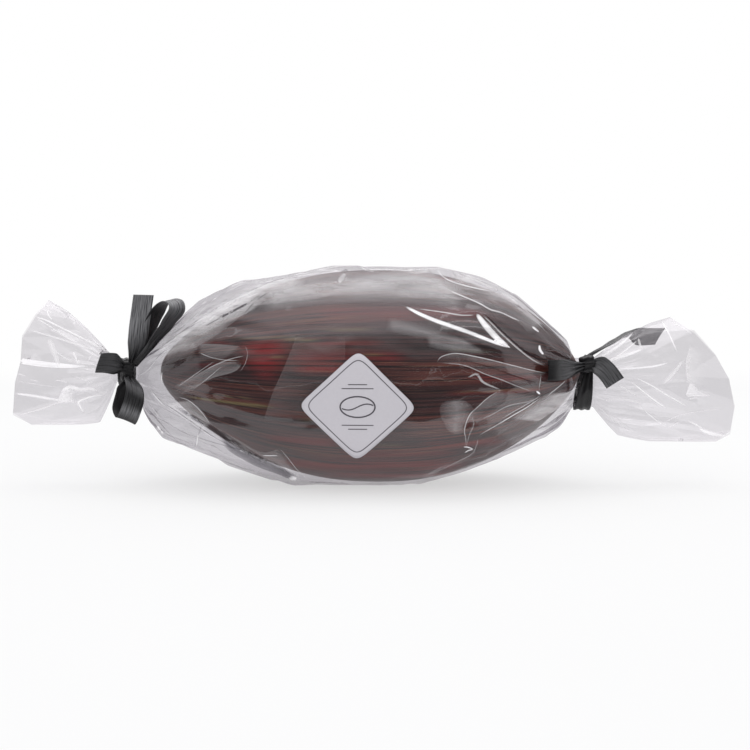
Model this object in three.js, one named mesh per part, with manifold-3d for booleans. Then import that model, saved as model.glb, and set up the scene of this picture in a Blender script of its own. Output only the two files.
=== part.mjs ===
// A chocolate cocoa pod wrapped like a big sweet: clear film gathered at both ends, each neck tied with
// a black satin ribbon, and a diamond label on the front. Millimetres. X runs along the pod, -Y is the
// front with the label, Z is up, and the film rests on the plane z = 0.
// The film sheath is closed by the ribbons, so it is one solid with the pod that fills it. Past each
// ribbon the film alone flares out as a pleated fan, which is a thin shell.
import * as THREE from "three";
import { mergeVertices } from "three/addons/utils/BufferGeometryUtils.js";
import Module from "manifold-3d";

const wasm = await Module();
wasm.setup();

// Driving dimensions
const GAP = 0.3; // clearance between touching pieces
const PLEATS = 14; // film pleats round each neck
const AROUND = 4 * PLEATS; // facets round the film
const STATIONS = 38; // rings of facets along the wrapped pod
const SHIFT = 2.2; // how far a facet's corner may lie from its ring, along X
const CRUMPLE = 0.012; // how far it may lie in or out, as a share of the radius
const REST_HEIGHT = 1.4; // film lower than this is pressed flat on the table
const AXIS_HEIGHT = 54; // the pod's long axis above the table
const SHEATH_PLEAT = 0.16; // height of the pleats beside a neck, as a share of the radius
const FAN_PLEAT = 0.42;
const FAN_PLEAT_REACH = 1.5; // a pleat's ridge ends this much nearer the pod than its fold
const FAN_ROWS = 9;
const FAN_CORE = 0.16; // share of the fan's length where its two layers are pressed into one
const FILM_WALL = 1.1; // the fan is a shell of this thickness
const THROAT = 5; // how far on each side of its middle a neck keeps its narrowest section
const RIBBON_WIDTH = 10;
const RIBBON_THICKNESS = 0.6;
const RIBBON_BUNCHED = 0.34; // share of its width that a ribbon keeps where it enters the knot
const BAND_CLEARANCE = 0.7; // between a neck and the ribbon's turn round it
const BAND_THICKNESS = 0.9;
const FILM_CLEARANCE = 1.2; // the least room between a loop of ribbon and the film under it
const LABEL_SIDE = 40; // a square label standing on one corner
const LABEL_CORNER = 3;
const LABEL_THICKNESS = 0.5;
const LABEL_LIFT = 0.6; // from the smooth form of the film to the label's back
const LABEL_CENTRE = { x: -7.2, z: 43.6 };
const LABEL_TURN = Math.PI / 4 - 0.02;
const LABEL_LEAN = 0.94; // the film there faces a little downwards, so the label looks shorter than wide
const RIGHT_ANGLE = Math.PI / 2;
const SAG_POWER = 2.6; // the film's lower half is squarer than a circle, whose power is 2

// Film outline of the wrapped pod seen from the front: [x, z] along its top and along its bottom.
const TOP = [
  [-123, 61], [-118, 61], [-106.5, 72.5], [-91.5, 86], [-72, 98.5], [-66, 100.5], [-19, 107.5],
  [32, 108], [46.5, 104.5], [61, 99.5], [73, 91.5], [96.5, 71.5], [100, 62.6], [105, 62.6],
];
const BOTTOM = [
  [-123, 50.4], [-118, 50.4], [-114, 36], [-106.5, 23], [-88.5, 17], [-67, 9], [-51.5, 3.5],
  [-38, 0], [22, 0], [37, 4.5], [55, 11], [79, 21], [87, 24.5], [100, 38], [105, 38],
];
// Half the film's depth, front to back.
const DEPTH = [
  [-123, 5], [-118, 5], [-106.5, 22], [-88, 35], [-67, 44.5], [-38, 51], [0, 53], [32, 52],
  [61, 44], [79, 33], [94, 19], [100, 6.5], [105, 6.5],
];

// Each neck, and the fan of film past it. rim lists where the fan's free edge lies in the front view,
// from its lowest point up, as [x, z]. fullness says how soon the film spreads out, low and high.
const NECKS = {
  left: {
    x: -123, z: 55.7, halfHeight: 5.3, halfDepth: 5, side: -1, rimDepth: 15,
    rim: [[-171, 29], [-180.3, 34.5], [-179, 50], [-176, 61], [-175, 73], [-168, 84], [-161.5, 91.5]],
    fullness: { low: 13, high: 1.35 },
  },
  right: {
    x: 105, z: 50.3, halfHeight: 12.3, halfDepth: 6.5, side: 1, rimDepth: 17,
    rim: [[172, 20.5], [179, 25], [181, 38], [178, 52], [171, 64], [160, 76], [148, 83]],
    fullness: { low: 4.2, high: 1.45 },
  },
};

const material = (color, roughness, opacity = 1) =>
  new THREE.MeshStandardMaterial({ color, roughness, metalness: 0, opacity, transparent: opacity < 1 });
const MATERIALS = {
  pod: material(0x3a2422, 0.35),
  film: material(0xe4e1e6, 0.08, 0.4),
  ribbon: material(0x161617, 0.45),
  label: material(0xd8d5da, 0.5),
};

const mix = (a, b, t) => a + (b - a) * t;
const clamp01 = (t) => Math.min(1, Math.max(0, t));
const smooth = (t) => clamp01(t) ** 2 * (3 - 2 * clamp01(t));

// The value at x of a line through [x, value] points.
function along(points, x) {
  const next = points.findIndex((p) => p[0] > x);
  if (next === 0) return points[0][1];
  if (next < 0) return points[points.length - 1][1];
  const [x0, v0] = points[next - 1];
  const [x1, v1] = points[next];
  return mix(v0, v1, (x - x0) / (x1 - x0));
}

// The film's top and bottom heights and its half depth round the pod at x.
const sectionAt = (x) => [along(TOP, x), along(BOTTOM, x), along(DEPTH, x)];

// A repeatable number from -1 to 1 for a pair of whole numbers.
function scatter(i, j) {
  const wave = Math.sin(i * 12.9898 + j * 78.233) * 437.585;
  return 2 * (wave - Math.floor(wave)) - 1;
}

// Sharp-ridged pleats of uneven height: 1 on a ridge and -1 in a fold.
function pleat(angle, seed) {
  const turn = (angle / (2 * Math.PI)) * PLEATS;
  const wave = 1 - 4 * Math.abs(turn - Math.floor(turn) - 0.5);
  return -wave * (0.75 + 0.25 * scatter(Math.round(turn) % PLEATS, seed));
}

// A closed body through rings of points, each end closed by a fan to the given centre point.
function loft(rings, startCentre, endCentre) {
  const count = rings[0].length;
  const points = [...rings.flat(), startCentre, endCentre];
  const [start, end] = [points.length - 2, points.length - 1];
  const faces = [];
  for (let r = 0; r + 1 < rings.length; r++)
    for (let i = 0; i < count; i++) {
      const j = (i + 1) % count;
      const [a, b] = [r * count + i, r * count + j];
      faces.push(a, b, a + count, b, b + count, a + count);
    }
  for (let i = 0; i < count; i++) {
    const j = (i + 1) % count;
    const tail = (rings.length - 1) * count;
    faces.push(start, j, i, end, tail + i, tail + j);
  }
  return facingOut(points, faces);
}

// An indexed geometry whose faces point out of the body.
function facingOut(points, faces) {
  const geometry = new THREE.BufferGeometry().setFromPoints(points);
  let sixVolumes = 0;
  for (let f = 0; f < faces.length; f += 3) {
    const [a, b, c] = [points[faces[f]], points[faces[f + 1]], points[faces[f + 2]]];
    sixVolumes += a.dot(new THREE.Vector3().crossVectors(b, c));
  }
  return geometry.setIndex(sixVolumes < 0 ? faces.reverse() : faces);
}

// The film round the pod, at x and at an angle from 0 (back) by way of 90 degrees (top) to 180 (front).
// The upper half is round, the lower half sags into a squarer form, and pleats fade out from each neck.
function sheathPoint(x, angle) {
  const [top, bottom, depth] = sectionAt(x);
  const [c, s] = [Math.cos(angle), Math.sin(angle)];
  const fromNeck = Math.min(x - NECKS.left.x, NECKS.right.x - x);
  const power = s < 0 ? mix(1, 2 / SAG_POWER, smooth(fromNeck / 60)) : 1;
  const squared = (v) => Math.sign(v) * Math.abs(v) ** power;
  const fading = smooth((fromNeck - THROAT) / 8) * Math.exp(-fromNeck / 20);
  const y = depth * squared(c) * (1 + SHEATH_PLEAT * fading * pleat(angle, 3));
  return new THREE.Vector3(x, y, (top + bottom) / 2 + ((top - bottom) / 2) * squared(s));
}

// 0 where the label holds the film's front smooth, and 1 away from it.
function clearOfLabel(x, z) {
  const reach = Math.abs(x - LABEL_CENTRE.x) + Math.abs(z - LABEL_CENTRE.z);
  return smooth((reach - LABEL_SIDE * 0.9) / 10);
}

// The wrapped pod: stations along X, each moved a little so that the stiff film breaks into flat facets.
function wrappedPod() {
  const [from, to] = [NECKS.left.x, NECKS.right.x];
  const rings = [];
  for (let r = 0; r <= STATIONS; r++) {
    const even = mix(from + THROAT, to - THROAT, (r - 1) / (STATIONS - 2));
    const x = Math.min(to, Math.max(from, even));
    const free = smooth((Math.min(x - from, to - x) - THROAT) / 14);
    const ring = [];
    for (let i = 0; i < AROUND; i++) {
      const angle = (2 * Math.PI * i) / AROUND;
      const flat = sheathPoint(x, angle);
      const loose = free * (flat.y < 0 ? clearOfLabel(flat.x, flat.z) : 1);
      const moved = sheathPoint(x + SHIFT * loose * scatter(r, i), angle);
      const grow = 1 + CRUMPLE * loose * scatter(i + 7, r);
      moved.y *= grow;
      moved.z = moved.z < REST_HEIGHT ? 0 : mix(AXIS_HEIGHT, moved.z, grow);
      ring.push(moved);
    }
    rings.push(ring);
  }
  const middleOf = (neck, x) => new THREE.Vector3(x, 0, neck.z);
  return loft(rings, middleOf(NECKS.left, from), middleOf(NECKS.right, to));
}

// A point of a fan. share runs from 0 at the neck to 1 at the free edge, and wall is how far inside the
// outer face it lies. The rim's height picks where along the free edge the film ends.
function fanPoint(neck, share, angle, wall) {
  const high = Math.sin(angle);
  const steps = neck.rim.length - 1;
  const place = ((high + 1) / 2) * steps;
  const k = Math.min(steps - 1, Math.floor(place));
  const [x0, z0] = neck.rim[k];
  const [x1, z1] = neck.rim[k + 1];
  const [rimX, rimZ] = [mix(x0, x1, place - k), mix(z0, z1, place - k)];
  const fullness = mix(neck.fullness.high, neck.fullness.low, clamp01(-high) ** 3);
  const spread = 1 - (1 - share) ** fullness;
  const start = neck.x + neck.side * THROAT;
  const centre = mix(neck.z, (neck.rim[0][1] + neck.rim[steps][1]) / 2, 1 - (1 - share) ** 1.5);
  const outerZ = mix(neck.z + neck.halfHeight * high, rimZ, spread);
  const depth = mix(neck.halfDepth, neck.rimDepth, share ** 0.6);
  const ridge = pleat(angle, neck.side + 5);
  const reach = depth * (1 + FAN_PLEAT * smooth(share * 2) * ridge) - wall;
  const height = Math.max(3, Math.abs(outerZ - centre));
  return new THREE.Vector3(
    mix(start, rimX, share) - neck.side * FAN_PLEAT_REACH * share * ridge,
    Math.cos(angle) * Math.max(0.5, reach),
    centre + (outerZ - centre) * (1 - Math.min(0.7, wall / height)),
  );
}

// One fan: out along its outer face from the neck to the free edge, and back inside to where the layers
// are pressed together.
function filmFan(neck) {
  const ringAt = (share, wall) =>
    Array.from({ length: AROUND }, (_, i) => fanPoint(neck, share, (2 * Math.PI * i) / AROUND, wall));
  const spaced = (row) => (row / FAN_ROWS) ** 1.35;
  const outer = Array.from({ length: FAN_ROWS + 1 }, (_, row) => ringAt(spaced(row), 0));
  const inner = [];
  for (let row = FAN_ROWS; spaced(row) > FAN_CORE; row--) inner.push(ringAt(spaced(row), FILM_WALL));
  const deepest = inner[inner.length - 1];
  const bottomOfFan = deepest.reduce((sum, p) => sum.add(p), new THREE.Vector3()).divideScalar(AROUND);
  bottomOfFan.x -= neck.side * 1.5;
  const cap = new THREE.Vector3(neck.x + neck.side * GAP, 0, neck.z);
  const throat = ringAt(0, 0).map((p) => p.setX(cap.x));
  return loft([throat, ...outer, ...inner], cap, bottomOfFan);
}

// The label: a thin square plate with rounded corners, standing on a corner and lying on the film.
function label() {
  const inset = LABEL_SIDE / 2 - LABEL_CORNER;
  const outline = new THREE.Shape().moveTo(-inset, -LABEL_SIDE / 2).lineTo(inset, -LABEL_SIDE / 2);
  for (const [x, y, quarter] of [[1, -1, 3], [1, 1, 0], [-1, 1, 1], [-1, -1, 2]])
    outline.absarc(x * inset, y * inset, LABEL_CORNER, quarter * RIGHT_ANGLE, (quarter + 1) * RIGHT_ANGLE);
  const rim = outline.getSpacedPoints(40).slice(0, -1);
  const onFilm = (p, share, lift) => {
    const turned = p.clone().multiplyScalar(share).rotateAround(new THREE.Vector2(), LABEL_TURN);
    return frontOfSheath(LABEL_CENTRE.x + turned.x, LABEL_CENTRE.z + turned.y * LABEL_LEAN, lift);
  };
  const ringsAt = (lift) => [0.33, 0.67, 1].map((share) => rim.map((p) => onFilm(p, share, lift)));
  const [back, front] = [LABEL_LIFT, LABEL_LIFT + LABEL_THICKNESS];
  const [backCentre, frontCentre] = [back, front].map((lift) => onFilm(rim[0], 0, lift));
  return loft([...ringsAt(back), ...ringsAt(front).reverse()], backCentre, frontCentre);
}

// The point at a distance of lift outside the film's front, over the place x, z.
function frontOfSheath(x, z, lift) {
  const [top, bottom, depth] = sectionAt(x);
  const half = (top - bottom) / 2;
  const height = (z - (top + bottom) / 2) / half;
  const power = height < 0 ? SAG_POWER : 2;
  const y = -depth * (1 - Math.min(1, Math.abs(height)) ** power) ** (1 / power);
  const outward = new THREE.Vector3(
    0,
    -(Math.abs(y / depth) ** (power - 1)) / depth,
    (Math.sign(height) * Math.abs(height) ** (power - 1)) / half,
  );
  return new THREE.Vector3(x, y, z).addScaledVector(outward.normalize(), lift);
}

// The same section of ribbon, moved out from the pod's axis where it would sink into the film.
function laidOnFilm(section) {
  let needed = 0;
  const away = new THREE.Vector3();
  for (const p of section) {
    const [top, bottom, depth] = sectionAt(p.x);
    const [half, middle] = [(top - bottom) / 2, (top + bottom) / 2];
    const out = new THREE.Vector3(0, p.y, p.z - middle);
    const reach = Math.hypot(out.y / depth, out.z / half);
    const push = out.length() * (1 / Math.max(0.2, reach) - 1) + FILM_CLEARANCE;
    if (push > needed) {
      needed = push;
      away.copy(out).normalize();
    }
  }
  return section.map((p) => p.clone().addScaledVector(away, needed));
}

// A flat ribbon along a smooth path. widths holds, for each path point, the direction across the ribbon.
// The ribbon is bunched where it enters the knot: at both ends of a loop, or at one end of a cut tail.
// opensBy is the share of a cut tail, or of half a loop, along which it spreads to its full width.
function ribbonStrip(path, widths, steps, bunchedEnds, opensBy = 0.45) {
  const smoothCurve = (list) => {
    const points = list.map((p) => new THREE.Vector3(...p));
    return new THREE.CatmullRomCurve3(points, false, "centripetal");
  };
  const curve = smoothCurve(path);
  const across = smoothCurve(widths);
  const rings = [];
  for (let i = 0; i <= steps; i++) {
    const t = i / steps;
    const centre = curve.getPoint(t);
    const ends = bunchedEnds === 2 ? Math.min(t, 1 - t) * 2 : t;
    const bunch = mix(RIBBON_BUNCHED, 1, smooth(ends / opensBy));
    const wide = across.getPoint(t).normalize();
    const thick = new THREE.Vector3().crossVectors(curve.getTangent(t), wide).normalize();
    wide.multiplyScalar((RIBBON_WIDTH / 2) * bunch);
    thick.multiplyScalar(RIBBON_THICKNESS / 2);
    const corner = (w, k) => centre.clone().addScaledVector(wide, w).addScaledVector(thick, k);
    rings.push(laidOnFilm([corner(-1, -1), corner(1, -1), corner(1, 1), corner(-1, 1)]));
  }
  const middleOf = (ring) => ring[0].clone().add(ring[2]).multiplyScalar(0.5);
  return loft(rings, middleOf(rings[0]), middleOf(rings[steps]));
}

// The ribbon's turn round a neck, leaning by lean from its top to its bottom.
function neckBand(neck, width, lean) {
  const segments = 28;
  const ringAt = (x, grow) =>
    Array.from({ length: segments }, (_, i) => {
      const angle = (2 * Math.PI * i) / segments;
      const [c, s] = [Math.cos(angle), Math.sin(angle)];
      const [y, z] = [(neck.halfDepth + grow) * c, neck.z + (neck.halfHeight + grow) * s];
      return new THREE.Vector3(x + (lean / 2) * s, y, z);
    });
  const [near, far] = [neck.x - width / 2, neck.x + width / 2];
  const [inner, outer] = [BAND_CLEARANCE, BAND_CLEARANCE + BAND_THICKNESS];
  const corners = [[near, inner], [near, outer], [far, outer], [far, inner]];
  const points = corners.flatMap(([x, grow]) => ringAt(x, grow));
  const faces = [];
  for (let r = 0; r < 4; r++)
    for (let i = 0; i < segments; i++) {
      const j = (i + 1) % segments;
      const [a, b] = [r * segments + i, r * segments + j];
      const [c, d] = [((r + 1) % 4) * segments + i, ((r + 1) % 4) * segments + j];
      faces.push(a, b, c, b, d, c);
    }
  return facingOut(points, faces);
}

// The knot: a small pressed ball of ribbon.
function knot(centre, size) {
  const ball = new THREE.SphereGeometry(1, 14, 10);
  ball.scale(...size.map((v) => v / 2));
  ball.translate(...centre);
  return ball;
}

function toSolid(geometry) {
  const bare = geometry.clone();
  bare.deleteAttribute("normal");
  bare.deleteAttribute("uv");
  const merged = mergeVertices(bare, 1e-4);
  return new wasm.Manifold(
    new wasm.Mesh({
      numProp: 3,
      vertProperties: new Float32Array(merged.attributes.position.array),
      triVerts: new Uint32Array(merged.index.array),
    }),
  );
}

function joined(geometries) {
  const solid = geometries.map(toSolid).reduce((all, next) => all.add(next));
  const { vertProperties, triVerts } = solid.getMesh();
  const geometry = new THREE.BufferGeometry();
  geometry.setAttribute("position", new THREE.BufferAttribute(new Float32Array(vertProperties), 3));
  return geometry.setIndex(new THREE.BufferAttribute(new Uint32Array(triVerts), 1));
}

// The left bow: a long loop up, a loop hanging down, a short loop out to the side and one cut end up.
function leftRibbon() {
  const { left } = NECKS;
  return joined([
    neckBand(left, 7.5, 0),
    knot([-121.2, -8.8, 56.8], [7.2, 6.4, 11.4]),
    ribbonStrip(
      [[-119.8, -9.5, 59], [-116.4, -10.5, 69.3], [-115, -11, 79.7], [-112.9, -10, 94.5]],
      [[1, 0.1, 0], [1, 0.3, 0.1], [1, 0.15, 0.05], [1, 0.05, -0.03]], 10, 1,
    ),
    ribbonStrip(
      [
        [-119.5, -8, 60], [-114.3, -7.5, 69.6], [-110.5, -7, 78], [-106.3, -7, 85.9], [-101.6, -8.5, 91.4],
        [-97, -12, 90.6], [-96.3, -14.5, 87.2], [-99.9, -15.5, 81.9], [-104.7, -15, 74.5],
        [-110.8, -13.5, 68], [-118, -10.5, 60],
      ],
      [
        [0.6, 0.7, 0], [0.55, 0.78, -0.28], [0.55, 0.78, -0.28], [0.5, 0.8, -0.3], [0.35, 0.9, 0],
        [0.6, 0.75, 0.1], [0.68, 0.7, -0.15], [0.5, 0.82, -0.25], [0.36, 0.88, -0.3],
        [0.36, 0.88, -0.3], [0.5, 0.8, -0.4],
      ], 24, 2,
    ),
    ribbonStrip(
      [
        [-121, -10, 55], [-117.4, -15.5, 50.2], [-116.6, -18.5, 45.3], [-118.3, -18.5, 38.9],
        [-122.2, -16, 32.7], [-126.1, -12.5, 36.8], [-126, -11, 45], [-123, -9.5, 53.5],
      ],
      [
        [0.88, 0, -0.45], [0.88, 0, -0.47], [0.9, -0.05, -0.42], [0.93, -0.1, -0.36],
        [0.93, -0.1, -0.34], [0.92, -0.1, -0.35], [0.9, -0.1, -0.38], [0.9, -0.1, -0.4],
      ], 22, 2, 0.25,
    ),
    ribbonStrip(
      [
        [-121.5, -10.5, 58.2], [-125.9, -13.5, 60.7], [-130.5, -15.5, 61.5], [-134.9, -15, 61.3],
        [-130.9, -12.6, 61], [-126.2, -11.4, 59.9], [-121.5, -9.5, 58.2],
      ],
      [[0.1, 0, 1], [0.15, 0, 1], [0.1, 0, 1]], 18, 2,
    ),
  ]);
}

// The right bow: a flattened loop over the pod, a short cut end, and a long cut end that lies on the
// fan's upper edge and ends behind the fan.
function rightRibbon() {
  const { right } = NECKS;
  return joined([
    neckBand(right, 7, 2),
    knot([106, -9, 60.2], [8, 6.5, 8]),
    ribbonStrip(
      [
        [104.5, -9.5, 59.8], [97.4, -18, 58.8], [90.7, -26, 58.7], [85.7, -30.5, 58.9],
        [84.6, -32.4, 59.1], [88.3, -31, 59], [95.4, -23, 58.9], [104.5, -11, 59.8],
      ],
      [[0, 0, 1], [0.03, 0, 1], [0, 0, 1]], 20, 2,
    ),
    ribbonStrip(
      [[106.7, -9.5, 60.5], [110.6, -12.5, 60.3], [114.8, -14.5, 57], [119.1, -15, 51.3]],
      [[0.3, 0, 1], [0.5, 0.1, 0.85], [0.75, 0.1, 0.65], [0.84, 0, 0.54]], 9, 1,
    ),
    ribbonStrip(
      [
        [106.6, -6, 62.8], [109.3, -1.5, 65.2], [116.5, 1, 69.6], [123, 7, 75], [129.5, 17, 75],
        [138, 20, 72.2], [146.7, 22, 72],
      ],
      [
        [0.4, 0.9, 0], [0.2, 1, 0], [0, 1, 0], [-0.2, 0.9, 0.3], [0.1, 0.55, 0.8], [0.45, 0.15, 0.9],
        [0.51, 0, 0.86],
      ], 16, 1,
    ),
  ]);
}

const PIECES = [
  ["wrapped_pod", wrappedPod(), MATERIALS.pod],
  ["film_fan_left", filmFan(NECKS.left), MATERIALS.film],
  ["film_fan_right", filmFan(NECKS.right), MATERIALS.film],
  ["ribbon_left", leftRibbon(), MATERIALS.ribbon],
  ["ribbon_right", rightRibbon(), MATERIALS.ribbon],
  ["label", label(), MATERIALS.label],
];

const wrapped = new THREE.Group();
for (const [name, geometry, finish] of PIECES) {
  const mesh = new THREE.Mesh(geometry, finish);
  mesh.name = name;
  wrapped.add(mesh);
}
export default wrapped;
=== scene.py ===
"""A chocolate cocoa pod wrapped like a big sweet in clear film, tied at both ends with black satin bows.

Lengths are millimetres in this script's own numbers, and metres in the meshes. The film sheath, the two
film fans and the bows repeat the routes of the solids they replace, with finer folds.
"""
import math

import bpy
import numpy as np
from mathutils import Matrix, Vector
from mathutils.bvhtree import BVHTree
from mathutils.geometry import delaunay_2d_cdt


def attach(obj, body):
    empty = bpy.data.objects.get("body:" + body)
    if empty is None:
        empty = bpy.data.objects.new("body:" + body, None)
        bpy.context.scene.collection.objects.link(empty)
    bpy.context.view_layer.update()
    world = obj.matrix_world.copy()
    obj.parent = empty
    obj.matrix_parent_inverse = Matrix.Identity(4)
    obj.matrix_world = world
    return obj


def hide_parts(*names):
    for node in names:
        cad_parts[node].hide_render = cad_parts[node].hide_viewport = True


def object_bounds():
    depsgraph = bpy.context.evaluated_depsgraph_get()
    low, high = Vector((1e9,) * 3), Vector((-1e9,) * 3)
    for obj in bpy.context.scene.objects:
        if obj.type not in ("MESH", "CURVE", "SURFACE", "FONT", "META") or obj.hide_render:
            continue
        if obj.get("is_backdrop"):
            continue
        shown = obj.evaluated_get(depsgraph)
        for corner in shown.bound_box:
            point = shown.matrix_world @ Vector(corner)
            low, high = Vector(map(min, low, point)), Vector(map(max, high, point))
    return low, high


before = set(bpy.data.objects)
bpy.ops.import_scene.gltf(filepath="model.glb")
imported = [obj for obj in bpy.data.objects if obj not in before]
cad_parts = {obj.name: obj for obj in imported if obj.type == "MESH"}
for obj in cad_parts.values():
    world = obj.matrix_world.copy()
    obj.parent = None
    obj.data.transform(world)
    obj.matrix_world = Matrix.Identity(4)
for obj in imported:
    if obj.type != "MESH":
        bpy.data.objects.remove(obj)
CAD_BOX = [list(corner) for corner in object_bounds()]

MM = 0.001
TINY = 1e-6

# ---------------------------------------------------------------- the wrapping's outline, as in the solids
TOP = [
    (-123, 61), (-118, 61), (-106.5, 72.5), (-91.5, 86), (-72, 98.5), (-66, 100.5), (-19, 107.5),
    (32, 108), (46.5, 104.5), (61, 99.5), (73, 91.5), (96.5, 71.5), (100, 62.6), (105, 62.6),
]
BOTTOM = [
    (-123, 50.4), (-118, 50.4), (-114, 36), (-106.5, 23), (-88.5, 17), (-67, 9), (-51.5, 3.5),
    (-38, 0), (22, 0), (37, 4.5), (55, 11), (79, 21), (87, 24.5), (100, 38), (105, 38),
]
DEPTH = [
    (-123, 5), (-118, 5), (-106.5, 22), (-88, 35), (-67, 44.5), (-38, 51), (0, 53), (32, 52),
    (61, 44), (79, 33), (94, 19), (100, 6.5), (105, 6.5),
]
SAG_POWER = 2.6  # 2 would make the film's lower half round, and more makes it hang fuller
THROAT = 5  # from the middle of a bow to where the film starts to spread
GAP = 0.3
AXIS_HEIGHT = 54

LEFT_NECK = {
    "x": -123, "z": 55.7, "half_height": 5.3, "half_depth": 5, "side": -1, "rim_depth": 15,
    "rim": [(-171, 29), (-180.3, 34.5), (-179, 50), (-176, 61), (-175, 73), (-168, 84), (-161.5, 91.5)],
    "full_low": 13, "full_high": 1.35,
}
RIGHT_NECK = {
    "x": 105, "z": 50.3, "half_height": 12.3, "half_depth": 6.5, "side": 1, "rim_depth": 17,
    "rim": [(172, 20.5), (179, 25), (181, 38), (178, 52), (171, 64), (160, 76), (148, 83)],
    "full_low": 7.5, "full_high": 1.45,
}

LABEL_CENTRE = (-7.2, 43.6)
LABEL_SIDE = 40
LABEL_CORNER = 3
LABEL_TURN = math.pi / 4 - 0.02
LABEL_LEAN = 0.94
LABEL_LIFT = 0.6
LABEL_THICKNESS = 0.4


# ---------------------------------------------------------------- helpers
def mix(a, b, t):
    return a + (b - a) * t


def unit(vectors):
    """Each row at a length of 1."""
    return vectors / np.linalg.norm(vectors, axis=1, keepdims=True)


def smooth(t):
    t = np.clip(t, 0, 1)
    return t * t * (3 - 2 * t)


def along(points, x):
    """The value at x of a line through (x, value) points."""
    xs, values = zip(*points)
    return np.interp(x, xs, values)


def section_at(x):
    """The film's middle height, half height and half depth round the pod at x."""
    top, bottom = along(TOP, x), along(BOTTOM, x)
    return (top + bottom) / 2, (top - bottom) / 2, along(DEPTH, x)


def full_turn(count):
    """count angles evenly round a circle."""
    return np.linspace(0, 2 * math.pi, count, endpoint=False)


def neck_distance(x):
    """How far x is from the nearer neck."""
    return np.minimum(x - LEFT_NECK["x"], RIGHT_NECK["x"] - x)


def lattice_noise(u, v, seed, wrap_v=512):
    """Smooth noise from -1 to 1 over u and v, one cell for each whole number, repeated after wrap_v in v."""
    grid = np.random.default_rng(seed).uniform(-1, 1, (512, wrap_v))
    iu, iv = np.floor(u).astype(int), np.floor(v).astype(int)
    fu, fv = smooth(u - iu), smooth(v - iv)
    rows, columns = grid.shape
    corner = lambda a, b: grid[(iu + a) % rows, (iv + b) % columns]
    return mix(mix(corner(0, 0), corner(1, 0), fu), mix(corner(0, 1), corner(1, 1), fu), fv)


def add_to_scene(name, data):
    """A new object of the scene for a mesh, lamp or camera."""
    obj = bpy.data.objects.new(name, data)
    bpy.context.scene.collection.objects.link(obj)
    return obj


def new_object(name, vertices, faces, material, attributes=None, smooth_faces=True):
    """A mesh object from millimetre vertices. attributes holds named vertex values, single or in threes."""
    mesh = bpy.data.meshes.new(name)
    mesh.from_pydata((np.asarray(vertices, float) * MM).tolist(), [], [tuple(map(int, f)) for f in faces])
    mesh.polygons.foreach_set("use_smooth", [smooth_faces] * len(mesh.polygons))
    for key, values in (attributes or {}).items():
        values = np.asarray(values, np.float32)
        kind, field = ("FLOAT", "value") if values.ndim == 1 else ("FLOAT_VECTOR", "vector")
        mesh.attributes.new(key, kind, "POINT").data.foreach_set(field, values.ravel())
    mesh.materials.append(material)
    mesh.validate()
    return add_to_scene(name, mesh)


def grid_faces(rows, columns, closed_rows=False, closed_columns=False):
    """Quads between the points of a grid numbered row by row."""
    i, j = np.meshgrid(
        np.arange(rows if closed_rows else rows - 1),
        np.arange(columns if closed_columns else columns - 1),
        indexing="ij",
    )
    down, right = (i + 1) % rows, (j + 1) % columns
    quads = [i * columns + j, i * columns + right, down * columns + right, down * columns + j]
    return np.stack([q.ravel() for q in quads], axis=1)


def joined(parts):
    """Parts as one: each part is its points, its faces, and values for its points if it has any."""
    faces, count = [], 0
    for points, quads, *_ in parts:
        faces += [[i + count for i in quad] for quad in quads]
        count += len(points)
    values = [np.concatenate(of_kind) for of_kind in list(zip(*parts))[2:]]
    return np.concatenate([part[0] for part in parts]), faces, *values


def closed_tube_faces(rows, columns):
    """The faces of rings of points one after another, with both ends closed."""
    last = (rows - 1) * columns
    ends = [list(range(columns))[::-1], list(range(last, last + columns))]
    return grid_faces(rows, columns, closed_columns=True).tolist() + ends


def faceted(seeds, seed_points, u_line, v_line):
    """Flat facets over a grid: seeds are (u, v) places, each with its point in space."""
    corners, _, facets, origins, _, _ = delaunay_2d_cdt([Vector(s) for s in seeds], [], [], 0, TINY)
    where = np.array([tuple(c) for c in corners])
    points = np.array([seed_points[o[0]] for o in origins])
    surface = np.zeros((len(u_line), len(v_line), 3))
    found = np.zeros((len(u_line), len(v_line)), bool)
    for facet in facets:
        a, b, c = (where[i] for i in facet)
        low, high = np.minimum(np.minimum(a, b), c), np.maximum(np.maximum(a, b), c)
        u0, u1 = np.searchsorted(u_line, (low[0] - TINY, high[0] + TINY))
        v0, v1 = np.searchsorted(v_line, (low[1] - TINY, high[1] + TINY))
        area = (b[0] - a[0]) * (c[1] - a[1]) - (c[0] - a[0]) * (b[1] - a[1])
        if u0 == u1 or v0 == v1 or abs(area) < 1e-9:
            continue
        u, v = np.meshgrid(u_line[u0:u1], v_line[v0:v1], indexing="ij")
        share_b = ((u - a[0]) * (c[1] - a[1]) - (c[0] - a[0]) * (v - a[1])) / area
        share_c = ((b[0] - a[0]) * (v - a[1]) - (u - a[0]) * (b[1] - a[1])) / area
        share_a = 1 - share_b - share_c
        inside = np.minimum(np.minimum(share_a, share_b), share_c) > -TINY
        flat = sum(s[..., None] * points[i] for s, i in zip((share_a, share_b, share_c), facet))
        surface[u0:u1, v0:v1][inside] = flat[inside]
        found[u0:u1, v0:v1] |= inside
    assert found.all(), "the seeds don't cover the grid"
    return surface


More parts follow.
